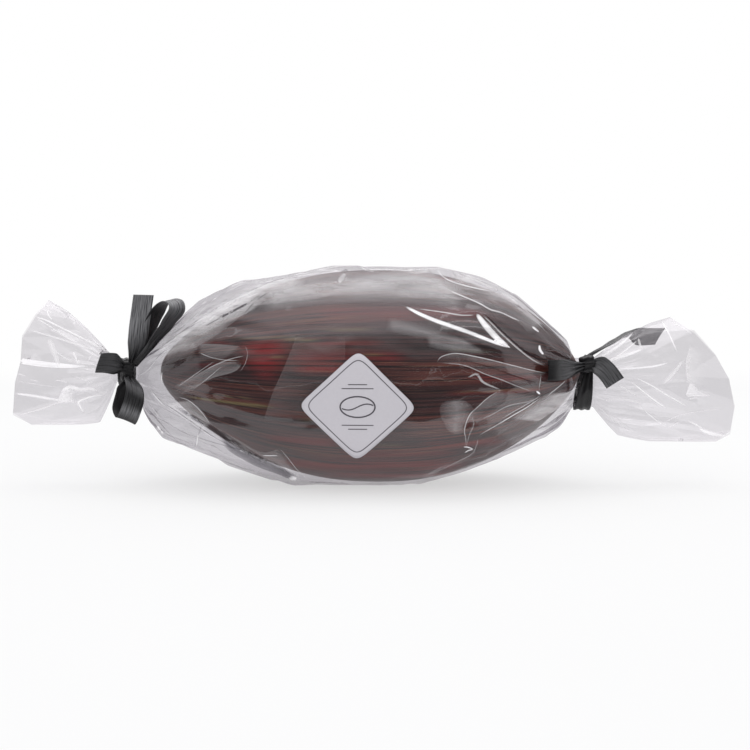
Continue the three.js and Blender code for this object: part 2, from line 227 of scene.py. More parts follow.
def catmull_rom(points, t):
    """A centripetal Catmull-Rom curve through points, at t from 0 to 1."""
    points = np.asarray(points, float)
    padded = np.concatenate([[2 * points[0] - points[1]], points, [2 * points[-1] - points[-2]]])
    place = np.clip(t, 0, 1) * (len(points) - 1)
    i = np.minimum(place.astype(int), len(points) - 2)
    w = (place - i)[:, None]
    p = [padded[i + k] for k in range(4)]
    step = [np.linalg.norm(p[k + 1] - p[k], axis=1, keepdims=True) for k in range(3)]
    gap = [np.maximum(1e-4, length**0.5) for length in step]
    slope1 = (p[1] - p[0]) / gap[0] - (p[2] - p[0]) / (gap[0] + gap[1]) + (p[2] - p[1]) / gap[1]
    slope2 = (p[2] - p[1]) / gap[1] - (p[3] - p[1]) / (gap[1] + gap[2]) + (p[3] - p[2]) / gap[2]
    slope1, slope2 = slope1 * gap[1], slope2 * gap[1]
    a = 2 * p[1] - 2 * p[2] + slope1 + slope2
    b = -3 * p[1] + 3 * p[2] - 2 * slope1 - slope2
    return ((a * w + b) * w + slope1) * w + p[1]


# ---------------------------------------------------------------- materials
WHITE = (1, 1, 1, 1)
FILM_MIRROR = 0.085  # share of the light that the film mirrors when seen face on
FILM_MIRROR_FLAT = 0.52  # and how much that grows towards the flattest angle
FILM_TINT = (0.872, 0.862, 0.877, 1)
FILM_TINT_GATHERED = (0.62, 0.61, 0.63, 1)
FILM_TINT_FLAT = (0.7, 0.69, 0.705, 1)
FILM_GLOSS = (0.95, 0.93, 0.95, 1)
FILM_SHARP, FILM_SOFT = 0.06, 0.28  # roughness of the film's two mirror lobes
FILM_SOFT_SHARE = 0.45
# Colours of the strips that paint light and shade onto the film: the painted shade's tint, and the white and
# grey of the painted highlights and reflections.
PAINTED_SHADE = (0.25, 0.24, 0.26, 1)
HIGHLIGHT_WHITE, HIGHLIGHT_GREY = (0.98, 0.965, 0.985, 1), (0.93, 0.91, 0.935, 1)


class Nodes:
    """Short calls to build the node tree of a new material, or of a new world."""

    def __init__(self, name, world=False):
        self.owner = (bpy.data.worlds if world else bpy.data.materials).new(name)
        self.owner.use_nodes = True
        self.tree = self.owner.node_tree
        self.tree.nodes.clear()
        self.output = self.add("ShaderNodeOutputWorld" if world else "ShaderNodeOutputMaterial")

    def add(self, kind, **settings):
        node = self.tree.nodes.new(kind)
        for key, value in settings.items():
            setattr(node, key, value)
        return node

    def put(self, value, socket):
        """Links value to the socket if it is an output, and sets it as the socket's value otherwise."""
        if isinstance(value, bpy.types.NodeSocket):
            self.tree.links.new(value, socket)
        else:
            socket.default_value = value

    def attribute(self, name, output="Fac"):
        return self.add("ShaderNodeAttribute", attribute_name=name).outputs[output]

    def position(self):
        return self.add("ShaderNodeTexCoord").outputs["Object"]

    def split(self, vector):
        node = self.add("ShaderNodeSeparateXYZ")
        self.put(vector, node.inputs[0])
        return node.outputs

    def math(self, operation, *values, clamp=False):
        node = self.add("ShaderNodeMath", operation=operation, use_clamp=clamp)
        for value, socket in zip(values, node.inputs):
            self.put(value, socket)
        return node.outputs[0]

    def scaled(self, vector, scale):
        node = self.add("ShaderNodeMapping")
        self.put(vector, node.inputs["Vector"])
        node.inputs["Scale"].default_value = scale
        return node.outputs[0]

    def noise(self, vector, scale, detail=3.0, roughness=0.55):
        node = self.add("ShaderNodeTexNoise")
        self.put(vector, node.inputs["Vector"])
        node.inputs["Scale"].default_value = scale
        node.inputs["Detail"].default_value = detail
        node.inputs["Roughness"].default_value = roughness
        return node.outputs["Fac"]

    def ramp(self, value, low, high):
        """0 below low, 1 above high, and smooth between them."""
        node = self.add("ShaderNodeMapRange", interpolation_type="SMOOTHSTEP")
        self.put(value, node.inputs["Value"])
        node.inputs["From Min"].default_value = low
        node.inputs["From Max"].default_value = high
        return node.outputs[0]

    def blend(self, share, a, b):
        node = self.add("ShaderNodeMix", data_type="RGBA")
        self.put(share, node.inputs[0])
        self.put(a, node.inputs[6])
        self.put(b, node.inputs[7])
        return node.outputs[2]

    def mixed(self, share, first, second):
        """One shader mixed into another."""
        node = self.add("ShaderNodeMixShader")
        for value, socket in zip((share, first, second), node.inputs):
            self.put(value, socket)
        return node.outputs[0]

    def bump(self, height, strength, distance):
        node = self.add("ShaderNodeBump")
        self.put(height, node.inputs["Height"])
        node.inputs["Strength"].default_value = strength
        node.inputs["Distance"].default_value = distance
        return node.outputs[0]

    def shader(self, kind, **values):
        """A shader node's output. Each value goes to the input of the same name, with _ for a space."""
        node = self.add(kind)
        for name, value in values.items():
            self.put(value, node.inputs[name.replace("_", " ")])
        return node.outputs[0]

    def finish(self, shader):
        """Links the whole shader to the output, and returns the material or world."""
        self.put(shader, self.output.inputs["Surface"])
        return self.owner


def rgb(red, green, blue):
    """A linear colour from 0 to 255 screen values."""
    parts = [c / 255 for c in (red, green, blue)]
    return tuple(c / 12.92 if c < 0.04045 else ((c + 0.055) / 1.055) ** 2.4 for c in parts) + (1.0,)


def film_material():
    """Thin clear film: it lets light straight through and mirrors a little, more at a flat angle.

    layers says how many more layers are gathered at a place, where the film looks greyer.
    """
    n = Nodes("clear_film")
    facing = n.add("ShaderNodeLayerWeight").outputs["Facing"]
    grazing = n.math("POWER", facing, 5.0)
    share = n.math("MULTIPLY_ADD", grazing, FILM_MIRROR_FLAT, FILM_MIRROR)
    tint = n.blend(n.attribute("layers"), FILM_TINT, FILM_TINT_GATHERED)
    clear = n.shader("ShaderNodeBsdfTransparent", Color=n.blend(grazing, tint, FILM_TINT_FLAT))
    lobes = [n.shader("ShaderNodeBsdfGlossy", Color=FILM_GLOSS, Roughness=r) for r in (FILM_SHARP, FILM_SOFT)]
    return n.finish(n.mixed(share, clear, n.mixed(FILM_SOFT_SHARE, *lobes)))


def painted_light_material():
    """Strips on the film with light and shade painted into their colour: painted highlights and reflections,
    whiter where the first attribute is high, and painted shade, darker where shade is high.
    """
    n = Nodes("film_painted_light")
    shade = n.blend(n.attribute("shade"), WHITE, PAINTED_SHADE)
    clear = n.shader("ShaderNodeBsdfTransparent", Color=shade)
    position = n.position()
    # the white of the painted highlights and reflections, a little uneven
    white = n.shader("ShaderNodeBsdfDiffuse", Color=n.blend(n.noise(position, 400.0), HIGHLIGHT_WHITE, HIGHLIGHT_GREY))
    # streaks in the strength of the painted highlights
    streaks = n.ramp(n.noise(n.scaled(position, (60.0, 60.0, 420.0)), 1.0), 0.2, 0.6)
    painted_highlight = n.math("MULTIPLY", n.attribute("painted_highlight"), n.math("MULTIPLY_ADD", streaks, 0.45, 0.62))
    return n.finish(n.mixed(painted_highlight, clear, white))


def chocolate_material():
    """Dark chocolate brushed lengthwise with red, olive and brown. brush runs round and along the pod."""
    n = Nodes("brushed_chocolate")
    brush = n.attribute("brush", "Vector")
    fine = n.noise(n.scaled(brush, (26.0, 1.0, 0.8)), 1.6, 3.0, 0.6)
    hairs = n.noise(n.scaled(brush, (70.0, 1.0, 1.2)), 1.6, 2.0, 0.5)
    broad = n.noise(n.scaled(brush, (6.0, 1.0, 0.8)), 1.0, 2.0, 0.5)
    strokes = n.ramp(fine, 0.36, 0.68)
    light_hairs = n.math("MULTIPLY", n.ramp(hairs, 0.6, 0.7), n.ramp(broad, 0.35, 0.6))
    colour = n.blend(strokes, rgb(33, 19, 20), rgb(80, 43, 41))
    for share, stroke_colour in (
        (n.math("MULTIPLY", n.ramp(broad, 0.45, 0.62), strokes), rgb(106, 54, 44)),
        (n.math("MULTIPLY", n.attribute("red"), n.ramp(fine, 0.3, 0.55), clamp=True), rgb(150, 26, 28)),
        (n.math("MULTIPLY", light_hairs, 0.5), rgb(168, 118, 86)),
        (n.math("MULTIPLY", n.attribute("olive"), n.ramp(fine, 0.25, 0.5), clamp=True), rgb(146, 134, 84)),
    ):
        colour = n.blend(share, colour, stroke_colour)
    return n.finish(n.shader(
        "ShaderNodeBsdfPrincipled", Base_Color=colour, Specular_IOR_Level=0.3,
        Roughness=n.math("MULTIPLY_ADD", fine, 0.15, 0.38), Normal=n.bump(fine, 0.25, 0.0003),
    ))


def satin_material():
    """Black satin ribbon with fine ribs along it, and a painted sheen: paler where its threads catch the
    light.

    weave holds the place across and along, in mm, and the painted sheen: how much the threads catch the
    light.
    """
    n = Nodes("black_satin")
    weave = n.attribute("weave", "Vector")
    ribs = n.add("ShaderNodeTexWave", wave_type="BANDS", bands_direction="X")
    n.put(n.scaled(weave, (1.0, 0.02, 0.0)), ribs.inputs["Vector"])
    ribs.inputs["Scale"].default_value = 0.9
    ribs.inputs["Distortion"].default_value = 0.6
    threads = n.noise(n.scaled(weave, (1.7, 0.08, 0.0)), 1.0, 3.0)
    # painted sheen: the weave's third value pales the base colour towards a light grey
    painted_sheen = n.math("MULTIPLY", n.split(weave)["Z"], n.ramp(threads, 0.2, 0.75), clamp=True)
    dark = n.blend(threads, rgb(10, 10, 11), rgb(28, 27, 30))
    return n.finish(n.shader(
        "ShaderNodeBsdfPrincipled", Base_Color=n.blend(painted_sheen, dark, rgb(172, 172, 176)),
        Roughness=n.ramp(threads, -0.4, 1.9), Specular_IOR_Level=0.42, Anisotropic=0.5,
        Normal=n.bump(ribs.outputs["Fac"], 0.3, 0.00012),
    ))


def paper_material(name, colour, darker, roughness):
    """Smooth paper, or ink on it, with a faint mottle."""
    n = Nodes(name)
    mottle = n.noise(n.position(), 900.0, 3.0)
    return n.finish(n.shader(
        "ShaderNodeBsdfPrincipled", Base_Color=n.blend(mottle, colour, darker), Roughness=roughness,
        Normal=n.bump(mottle, 0.1, 0.00005),
    ))


# ---------------------------------------------------------------- the pod
POD_WIDEST = 3
POD_LEFT, POD_RIGHT = -106, 103.5
POD_RADIUS = 51.6
POD_LEFT_POWERS, POD_RIGHT_POWERS = (2, 0.7), (2.15, 0.72)  # how full its two ends are
POD_AXIS = 53.7
POD_TIP_RISE = 2.0  # how much higher its axis is at the tips
POD_FLOOR = 0.4  # the film's thickness and its wrinkles keep it this far above the table
POD_STALK, STALK_START, STALK_ROUNDING = 9.5, -88, 8
POD_RIDGES = 10
POD_TALLER = 1.03
# Streaks of colour on the front, from the photo: x and z of both ends, width, strength.
RED_STREAKS = [
    (-68, 69, -36, 69.5, 4.5, 1.0), (-66, 63, -38, 63.5, 4, 1.0), (-62, 58, -40, 58, 2.5, 0.8),
    (-88, 71, -62, 72, 1.2, 0.7), (-46, 66, 20, 67, 2.5, 0.5), (-42, 61, -4, 61.5, 2.5, 0.6),
    (-34, 72, 10, 73, 1.2, 0.4), (-95, 60, -66, 62, 1.5, 0.4), (-30, 86, 60, 86, 4, 0.3),
    (-50, 14, 50, 13, 5, 0.45), (-60, 28, -10, 26, 2.5, 0.35), (-30, 8, 60, 9, 3, 0.45),
    (20, 26, 70, 24, 3, 0.4), (40, 57, 90, 55, 2, 0.4), (30, 50, 95, 49, 1.5, 0.35),
    (-20, 20, 45, 20, 2, 0.35),
]
OLIVE_STREAKS = [
    (-96, 45.4, -44, 42.4, 0.8, 1.0), (-82, 47.6, -54, 46, 0.35, 0.7), (-46, 73.4, -22, 73.8, 0.5, 1.0),
    (-72, 73.6, -30, 75, 0.8, 0.35), (-30, 78, 5, 79, 0.5, 0.5), (-60, 66, -30, 66, 0.3, 0.4),
    (-12, 67, 10, 68, 0.4, 0.5), (30, 70, 62, 68, 0.5, 0.4), (35, 50, 85, 50, 0.5, 0.3),
    (-40, 37, 5, 36, 0.7, 0.3), (-10, 26, 20, 25, 0.5, 0.25),
]


def pod_size(x):
    """The pod's mean radius at x as a share of its widest."""
    side = np.where(x < POD_WIDEST, POD_WIDEST - POD_LEFT, POD_RIGHT - POD_WIDEST)
    share = np.clip(np.abs(x - POD_WIDEST) / side, 0, 1)
    ends = [(1 - share**inner) ** outer for inner, outer in (POD_LEFT_POWERS, POD_RIGHT_POWERS)]
    body = np.where(x < POD_WIDEST, *ends)
    into_tip = np.clip((POD_LEFT + STALK_ROUNDING - x) / STALK_ROUNDING, 0, 1)
    stalk = np.where(x < STALK_START, POD_STALK / POD_RADIUS, 0) * np.sqrt(1 - into_tip**2)
    return (body**4 + stalk**4) ** 0.25


def pod_reach(x):
    """The pod's mean radius at x, and 0 past its tips."""
    return np.where((x > POD_LEFT) & (x < POD_RIGHT), POD_RADIUS * pod_size(x), 0)


def pod_radius(x, turn):
    """The pod's radius at x, at a turn round its axis from 0 (back) by way of 90 degrees (top)."""
    size = pod_size(x)
    ridge = np.cos(POD_RIDGES * turn + 0.6 * np.sin(2 * turn) + 0.02 * x)
    wander = lattice_noise(x / 30 + 9, turn * 9 / (2 * math.pi), 5, 9)
    return POD_RADIUS * size * (1 + (0.011 * ridge + 0.008 * wander) * smooth(3 * size))


def pod_centre(x):
    """The height of the pod's axis at x."""
    return POD_AXIS + POD_TIP_RISE * ((x - POD_WIDEST) / 105) ** 2


def streak_mask(x, turn, front_streaks, seed, count):
    """Soft long streaks: those listed for the front, and others at random round the rest of the pod."""
    draw = np.random.default_rng(seed)
    mask = np.zeros(x.shape)
    streaks = []
    for x0, z0, x1, z1, width, strength in front_streaks:
        z = mix(z0, z1, (x - x0) / (x1 - x0))
        share = np.clip((z - pod_centre(x)) / (POD_RADIUS * pod_size(x)), -0.98, 0.98)
        streaks.append((x0, x1, math.pi - np.arcsin(share), width, strength))
    for _ in range(count):
        x0 = draw.uniform(-95, 50)
        turn0 = draw.uniform(-0.4, 0.4) * math.pi
        width = draw.choice([s[4] for s in front_streaks])
        streaks.append((x0, x0 + draw.uniform(30, 70), turn0, width, draw.uniform(0.3, 0.9)))
    for x0, x1, turn0, width, strength in streaks:
        around = (turn - turn0 + math.pi) % (2 * math.pi) - math.pi
        across = np.exp(-((around * 50 / width) ** 2))
        ends = smooth((x - x0) / 14) * smooth((x1 - x) / 14)
        mask = np.maximum(mask, strength * across * ends)
    return mask


def make_pod():
    rows, columns = 300, 300
    share = np.linspace(0, 1, rows)
    x_line = mix(POD_LEFT + 0.02, POD_RIGHT - 0.02, (1 - np.cos(math.pi * share)) / 2)
    turn_line = full_turn(columns)
    x, turn = np.meshgrid(x_line, turn_line, indexing="ij")
    radius = pod_radius(x, turn)
    z = np.maximum(pod_centre(x) + POD_TALLER * radius * np.sin(turn), POD_FLOOR)
    vertices = np.stack([x, radius * np.cos(turn), z], axis=-1)
    # the strokes close up towards both tips, above and below the middle of the front and of the back
    front = np.where(np.cos(turn) < 0, 1, -1)
    from_middle = np.arctan2(np.sin(turn), np.abs(np.cos(turn)))
    round_pod = front * (math.pi / 2 - pod_size(x) ** 0.4 * from_middle)
    brush = np.stack([round_pod, 0 * x, x / 100], axis=-1)
    red = streak_mask(x, turn, RED_STREAKS, 41, 12)
    olive = streak_mask(x, turn, OLIVE_STREAKS, 42, 12)
    return new_object(
        "cocoa_pod", vertices.reshape(-1, 3), closed_tube_faces(rows, columns), chocolate_material(),
        {"brush": brush.reshape(-1, 3), "red": red.ravel(), "olive": olive.ravel()},
    )


# ---------------------------------------------------------------- the film round the pod
AROUND_SCALE = 50  # mm of film for each radian of turn, at the middle of the pod
# Creases of the front: x and z of both ends, height, half width. A negative height is a fold inwards.
FRONT_CREASES = [
    # the upper left shoulder, fanning out from the neck
    (-116, 62, -91, 76, 1.6, 5), (-92, 76, -70, 92, 1.8, 4), (-72, 98, -91, 80, -1.2, 4),
    (-110, 66, -80, 94, 1.2, 5), (-72, 98, -54, 99, 1.0, 5), (-60, 96, -85, 70, -0.9, 5),
    # the lower left, where the film hangs free of the pod
    (-114, 44, -104, 40, 1.5, 5), (-104, 40, -66, 15.5, 2.0, 5), (-66, 15.5, -38, 2, 1.8, 5),
    (-118, 50, -88, 34, 1.2, 4), (-107, 24, -86, 30, 1.2, 5), (-88, 19, -70, 24, -1.2, 4),
    (-38, 74, -55, 30, 0.9, 6), (-55, 30, -46, 8, 0.8, 5),
    # the upper right
    (36, 106, 63, 94, 1.2, 5), (63, 94, 73, 89, 1.3, 4), (73, 89, 98, 69, 1.4, 4),
    (83, 66, 92, 62, 1.0, 3), (60, 86, 90, 70, 0.9, 4),
    # tubular folds that run into the right neck
    (32, 62, 41, 65, 1.2, 4), (41, 65, 86, 54, 1.6, 4), (51, 54, 84, 44, 1.4, 4), (60, 60, 98, 52, 1.1, 3),
    (40, 48, 70, 50, -0.8, 4),
    # the lower right facets
    (63, 46, 48, 26, 1.3, 5), (51, 24, 84, 42, 1.8, 4), (48, 17, 56, 18.5, 1.2, 3), (35, 38, 48, 30, 0.9, 5),
    (84, 28, 97, 42, 1.5, 5), (60, 14, 82, 30, 1.0, 5),
    # soft band at the top
    (-16, 104, 10, 100, 0.8, 3), (10, 100, 45, 101, 0.7, 4),
]
RANDOM_CREASES = 70
# Layers of flat facets: how many along and around, how far they stand out, seed, and share of the form.
SHEATH_FACETS = ((12, 14, 2.2, 7, 0.85), (22, 26, 0.8, 8, 0.15))
# Pleats beside the necks: height, how far along the film they fade, seed, and how many there are.
NECK_PLEATS = ((3.0, 26, 61, 17), (1.2, 45, 71, 29))
RIDGE_ROOM = 1.018  # the pod's ridges stand this far out of its mean radius
FILM_OVER_POD = 0.35
FILM_FLOOR = 0.02


def front_turn(x, z):
    """The turn at which the film's front lies at height z."""
    middle, half, _ = section_at(x)
    height = np.clip((z - middle) / half, -0.995, 0.995)
    power = SAG_POWER / 2 if height < 0 else 1
    return math.pi - math.copysign(math.asin(abs(height) ** power), height)


def crease_list():
    """All creases as (x0, around0, x1, around1, height, half width), with around in mm from the front."""
    draw = np.random.default_rng(31)
    creases = []
    for x0, z0, x1, z1, height, width in FRONT_CREASES:
        around = [(front_turn(x, z) - math.pi) * AROUND_SCALE for x, z in ((x0, z0), (x1, z1))]
        creases.append((x0, around[0], x1, around[1], 0.6 * height, width))
    for _ in range(RANDOM_CREASES):
        x0 = draw.uniform(-105, 92)
        around0 = draw.uniform(-math.pi, math.pi) * AROUND_SCALE
        towards_neck = abs(x0 + 9) / 110
        heading = draw.normal(0, mix(1.0, 0.35, towards_neck))
        length = draw.uniform(12, 46)
        x1, around1 = x0 + length * math.cos(heading), around0 + length * math.sin(heading)
        height = draw.uniform(0.35, 1.3) * (1 if draw.random() < 0.7 else -1)
        if abs(around0) < 70:
            height *= mix(0.15, 0.5, smooth(towards_neck * 2 - 0.8))
        creases.append((x0, around0, x1, around1, height, draw.uniform(2.5, 7)))
    return creases


def creased(x, around):
    """How far the creases lift the film at each point."""
    lift = np.zeros(x.shape)
    whole = 2 * math.pi * AROUND_SCALE
    for x0, a0, x1, a1, height, width in crease_list():
        run = np.array([x1 - x0, a1 - a0])
        length = max(TINY, float(np.hypot(*run)))
        run = run / length
        dx = x - x0
        da = (around - a0 + whole / 2) % whole - whole / 2
        place = (dx * run[0] + da * run[1]) / length
        off = np.abs(-dx * run[1] + da * run[0])
        rounded = np.sqrt(off**2 + 0.5**2) - 0.5
        ends = np.clip(np.minimum(place, 1 - place) / 0.18 + 0.35, 0, 1)
        profile = np.clip(1 - rounded / width, 0, 1)
        lift += np.where((place > -0.06) & (place < 1.06), height * ends * profile, 0)
    return lift


def tent_waves(turn, count, wander):
    """Sharp waves from -1 to 1 round a full turn, moved sideways by wander."""
    waves = (turn / (2 * math.pi)) * count + wander
    return 1 - 4 * np.abs(waves - np.floor(waves) - 0.5)


def neck_pleats(x, turn, seed, pleats):
    """Pleats that start at a neck and fade out along the pod, uneven in height and place."""
    wander = 0.5 * lattice_noise(x / 25 + 50, turn * 7 / (2 * math.pi), seed, 7)
    uneven = lattice_noise(np.full(x.shape, 3.0), turn * pleats / (2 * math.pi), seed + 1, pleats)
    return tent_waves(turn, pleats, wander) * (0.7 + 0.5 * uneven)


def clear_of_label(x, z):
    """0 where the label holds the film smooth, and 1 away from it."""
    reach = np.abs(x - LABEL_CENTRE[0]) + np.abs(z - LABEL_CENTRE[1])
    return smooth((reach - LABEL_SIDE * 0.72) / 8)


def smooth_sheath(x, turn):
    """The film's smooth form at x and turn: its y and z."""
    middle, half, depth = section_at(x)
    c, s = np.cos(turn), np.sin(turn)
    from_neck = neck_distance(x)
    power = np.where(s < 0, mix(1, 2 / SAG_POWER, smooth(from_neck / 60)), 1)
    return depth * np.sign(c) * np.abs(c) ** power, middle + half * np.sign(s) * np.abs(s) ** power


def sheath_seeds(columns, around, bulge, seed):
    """Jittered places over the film, and points a little outside its smooth form, for its flat facets."""
    draw = np.random.default_rng(seed)
    left, right = LEFT_NECK["x"] - 1, RIGHT_NECK["x"] + 1
    step_x, step_turn = (right - left) / columns, 2 * math.pi / around
    seeds, points = [], []
    for i in range(columns + 1):
        for j in range(around):
            edge = i in (0, columns)
            x = left + step_x * (i + (0 if edge else draw.uniform(-0.38, 0.38)))
            turn = step_turn * (j + 0.5 * (i % 2) + draw.uniform(-0.36, 0.36))
            y, z = smooth_sheath(np.clip(x, left + 1, right - 1), turn)
            grow = 1 + draw.uniform(0, bulge) / max(12, math.hypot(y, z - AXIS_HEIGHT))
            for lap in (-1, 0, 1):
                seeds.append((x, (turn + lap * 2 * math.pi) * AROUND_SCALE))
                points.append((x, y * grow, AXIS_HEIGHT + (z - AXIS_HEIGHT) * grow))
    return seeds, points


def film_sheath_points(x_line, turn_line):
    """The film with its facets, creases and pleats, outside the pod and above the table."""
    x, turn = np.meshgrid(x_line, turn_line, indexing="ij")
    middle = section_at(x)[0]
    from_neck = neck_distance(x)
    y, z = smooth_sheath(x, turn)
    loose = smooth((from_neck - THROAT) / 9)
    free = loose * np.where(y < 0, clear_of_label(x, z), 1)
    tied = mix(0.3, 1, smooth((np.abs(x + 9) - 38) / 45))
    for columns, around, bulge, seed, strength in SHEATH_FACETS:
        flat = faceted(*sheath_seeds(columns, around, bulge, seed), x_line, turn_line * AROUND_SCALE)
        y = mix(y, flat[..., 1], strength * free * tied)
        z = mix(z, flat[..., 2], strength * free * tied)
    creases = creased(x, (turn - math.pi) * AROUND_SCALE)
    pleats = sum(
        height * np.exp(-from_neck / fade) * neck_pleats(x, turn, seed, count)
        for height, fade, seed, count in NECK_PLEATS
    )
    grow = 1 + (free * creases + loose * pleats) / np.maximum(np.hypot(y, z - middle), 8)
    y, z = y * grow, middle + (z - middle) * grow
    # the pod inside holds the film out
    up = z - pod_centre(x)
    inner = RIDGE_ROOM * pod_reach(x) + FILM_OVER_POD
    short = np.maximum(1, inner / np.maximum(np.hypot(y, up / POD_TALLER), TINY))
    short = np.where(from_neck > 12, short, 1)
    y, z = y * short, pod_centre(x) + up * short
    return np.stack([x, y, np.maximum(z, FILM_FLOOR)], axis=-1)


def gathered_layers(points):
    """Where the film is gathered into more layers: beside the necks, and where it hangs free of the pod."""
    x, y, z = points[..., 0], points[..., 1], points[..., 2]
    from_neck = neck_distance(x)
    beside_necks = 0.5 * np.exp(-from_neck / 14)
    slack = smooth((np.hypot(y, z - pod_centre(x)) - pod_reach(x) - 1) / 9)
    return np.clip(0.1 + beside_necks + slack * mix(0.45, 0.08, smooth((x + 20) / 60)), 0, 1)


def make_film_sheath(material):
    rows, columns = 305, 310
    x_line = np.linspace(LEFT_NECK["x"] + 0.1, RIGHT_NECK["x"] - 0.1, rows)
    turn_line = full_turn(columns)
    points = film_sheath_points(x_line, turn_line)
    faces = grid_faces(rows, columns, closed_columns=True)
    layers = gathered_layers(points).ravel()
    return new_object("film_sheath", points.reshape(-1, 3), faces, material, {"layers": layers}), points


# ---------------------------------------------------------------- the film fans past the ribbons
FAN_LEAN = 885  # mm: how far back the sheets of a fan would have to go to be twice as long
FAN_DROP, FAN_DROP_DEPTH = 5, 60  # the free edge drops by 5 mm over 60 mm of depth, and more where it is high
# Pleats beside the neck: height as a share of the depth, seed, and how many there are.
FAN_PLEATS = ((0.32, 20, 15), (0.12, 30, 33))
# Layers of flat facets: rows of (share of the way out, count), how far they stand out, and share of the form.
FAN_FACETS = (
    ([(0, 30), (0.2, 16), (0.45, 12), (0.72, 12), (1, 12)], 3.5, 0.9),
    ([(0, 40), (0.12, 36), (0.3, 26), (0.5, 20), (0.75, 18), (1, 12)], 1.2, 0.12),
)


def smooth_fan(neck, share, turn):
    """A fan's smooth form. share runs from 0 at the neck to 1 at the free edge."""
    high = np.sin(turn)
    rim = np.array(neck["rim"], float)
    place = (high + 1) / 2 * (len(rim) - 1)
    rim_x = np.interp(place, np.arange(len(rim)), rim[:, 0])
    rim_z = np.interp(place, np.arange(len(rim)), rim[:, 1])
    fullness = mix(neck["full_high"], neck["full_low"], np.clip(-high, 0, 1) ** 3)
    spread = 1 - (1 - share) ** fullness
    start = neck["x"] + neck["side"] * THROAT
    z = mix(neck["z"] + neck["half_height"] * high, rim_z, spread)
    depth = mix(neck["half_depth"], neck["rim_depth"], share**0.6)
    return mix(start, rim_x, share), np.cos(turn) * depth, z


def fan_seeds(neck, rows, swing, seed):
    """Places over a fan and their points. Each row is (share, count). swing moves them in depth.

    Every row has a place on the top fold and on the bottom one, and the last row is the free edge.
    """
    draw = np.random.default_rng(seed)
    corners = [math.asin(k / 3) for k in range(-3, 4)]
    rim_turns = corners + [math.pi - turn for turn in corners[1:-1]]
    seeds, points = [], []
    for share_row, count in rows:
        evenly = [math.pi / 2 + 2 * math.pi * j / count for j in range(count)]
        for j, turn in enumerate(rim_turns if share_row == 1 else evenly):
            share = share_row
            if 0 < share_row < 1 and j % (count // 2):
                share += draw.uniform(-0.07, 0.07)
                turn += draw.uniform(-0.32, 0.32) * 2 * math.pi / count
            x, y, z = smooth_fan(neck, share, turn)
            y = y + swing * smooth(share * 2) * draw.uniform(-1, 1) * abs(math.cos(turn))
            for lap in (-1, 0, 1):
                seeds.append((share, turn + lap * 2 * math.pi))
                points.append((x, y, z))
    return seeds, points


def fan_points(neck, share_line, turn_line, seed):
    """A fan's film: large flat facets, and pleats that radiate from the neck and soon fade."""
    share, turn = np.meshgrid(share_line, turn_line, indexing="ij")
    x, y, z = smooth_fan(neck, share, turn)
    for k, (rows, swing, strength) in enumerate(FAN_FACETS):
        flat = faceted(*fan_seeds(neck, rows, swing, seed + k), share_line, turn_line)
        x, y, z = (mix(value, flat[..., axis], strength) for axis, value in enumerate((x, y, z)))
    near = np.exp(-share / 0.24) * smooth(share / 0.08)
    ridges = sum(
        height * uneven_pleats(turn, share, seed + more, count) for height, more, count in FAN_PLEATS
    )
    depth = mix(neck["half_depth"], neck["rim_depth"], share**0.6)
    y = y + np.cos(turn) * depth * near * ridges
    # the back sheet is a little longer and lower than the front one
    x = x + x * y / FAN_LEAN * share
    z = z - (FAN_DROP + (z - AXIS_HEIGHT) / 15) * y / FAN_DROP_DEPTH * share
    return np.stack([x - neck["side"] * 2.0 * share * near * ridges, y, z], axis=-1)


def uneven_pleats(turn, share, seed, pleats):
    """Sharp ridges round a fan, of uneven width and height, that bend a little on their way out."""
    wander = 0.9 * lattice_noise(share * 1.6 + 5, turn * 9 / (2 * math.pi), seed, 9)
    uneven = lattice_noise(share * 1.2 + 2, turn * pleats / (2 * math.pi), seed + 1, pleats)
    return tent_waves(turn, pleats, wander) * (0.65 + 0.55 * uneven)


def make_fan(name, neck, seed, material):
    rows, columns = 110, 460
    share_line = np.linspace(0, 1, rows) ** 1.25
    turn_line = full_turn(columns)
    points = fan_points(neck, share_line, turn_line, seed)
    throat = points[:1].copy()
    throat[..., 0] = neck["x"] + neck["side"] * GAP
    points = np.concatenate([throat, points])
    layers = np.repeat(np.concatenate([[0], share_line])[:, None], columns, axis=1)
    faces = grid_faces(rows + 1, columns, closed_columns=True)
    layers = 0.3 * np.exp(-layers.ravel() / 0.12)
    return new_object(name, points.reshape(-1, 3), faces, material, {"layers": layers}), points
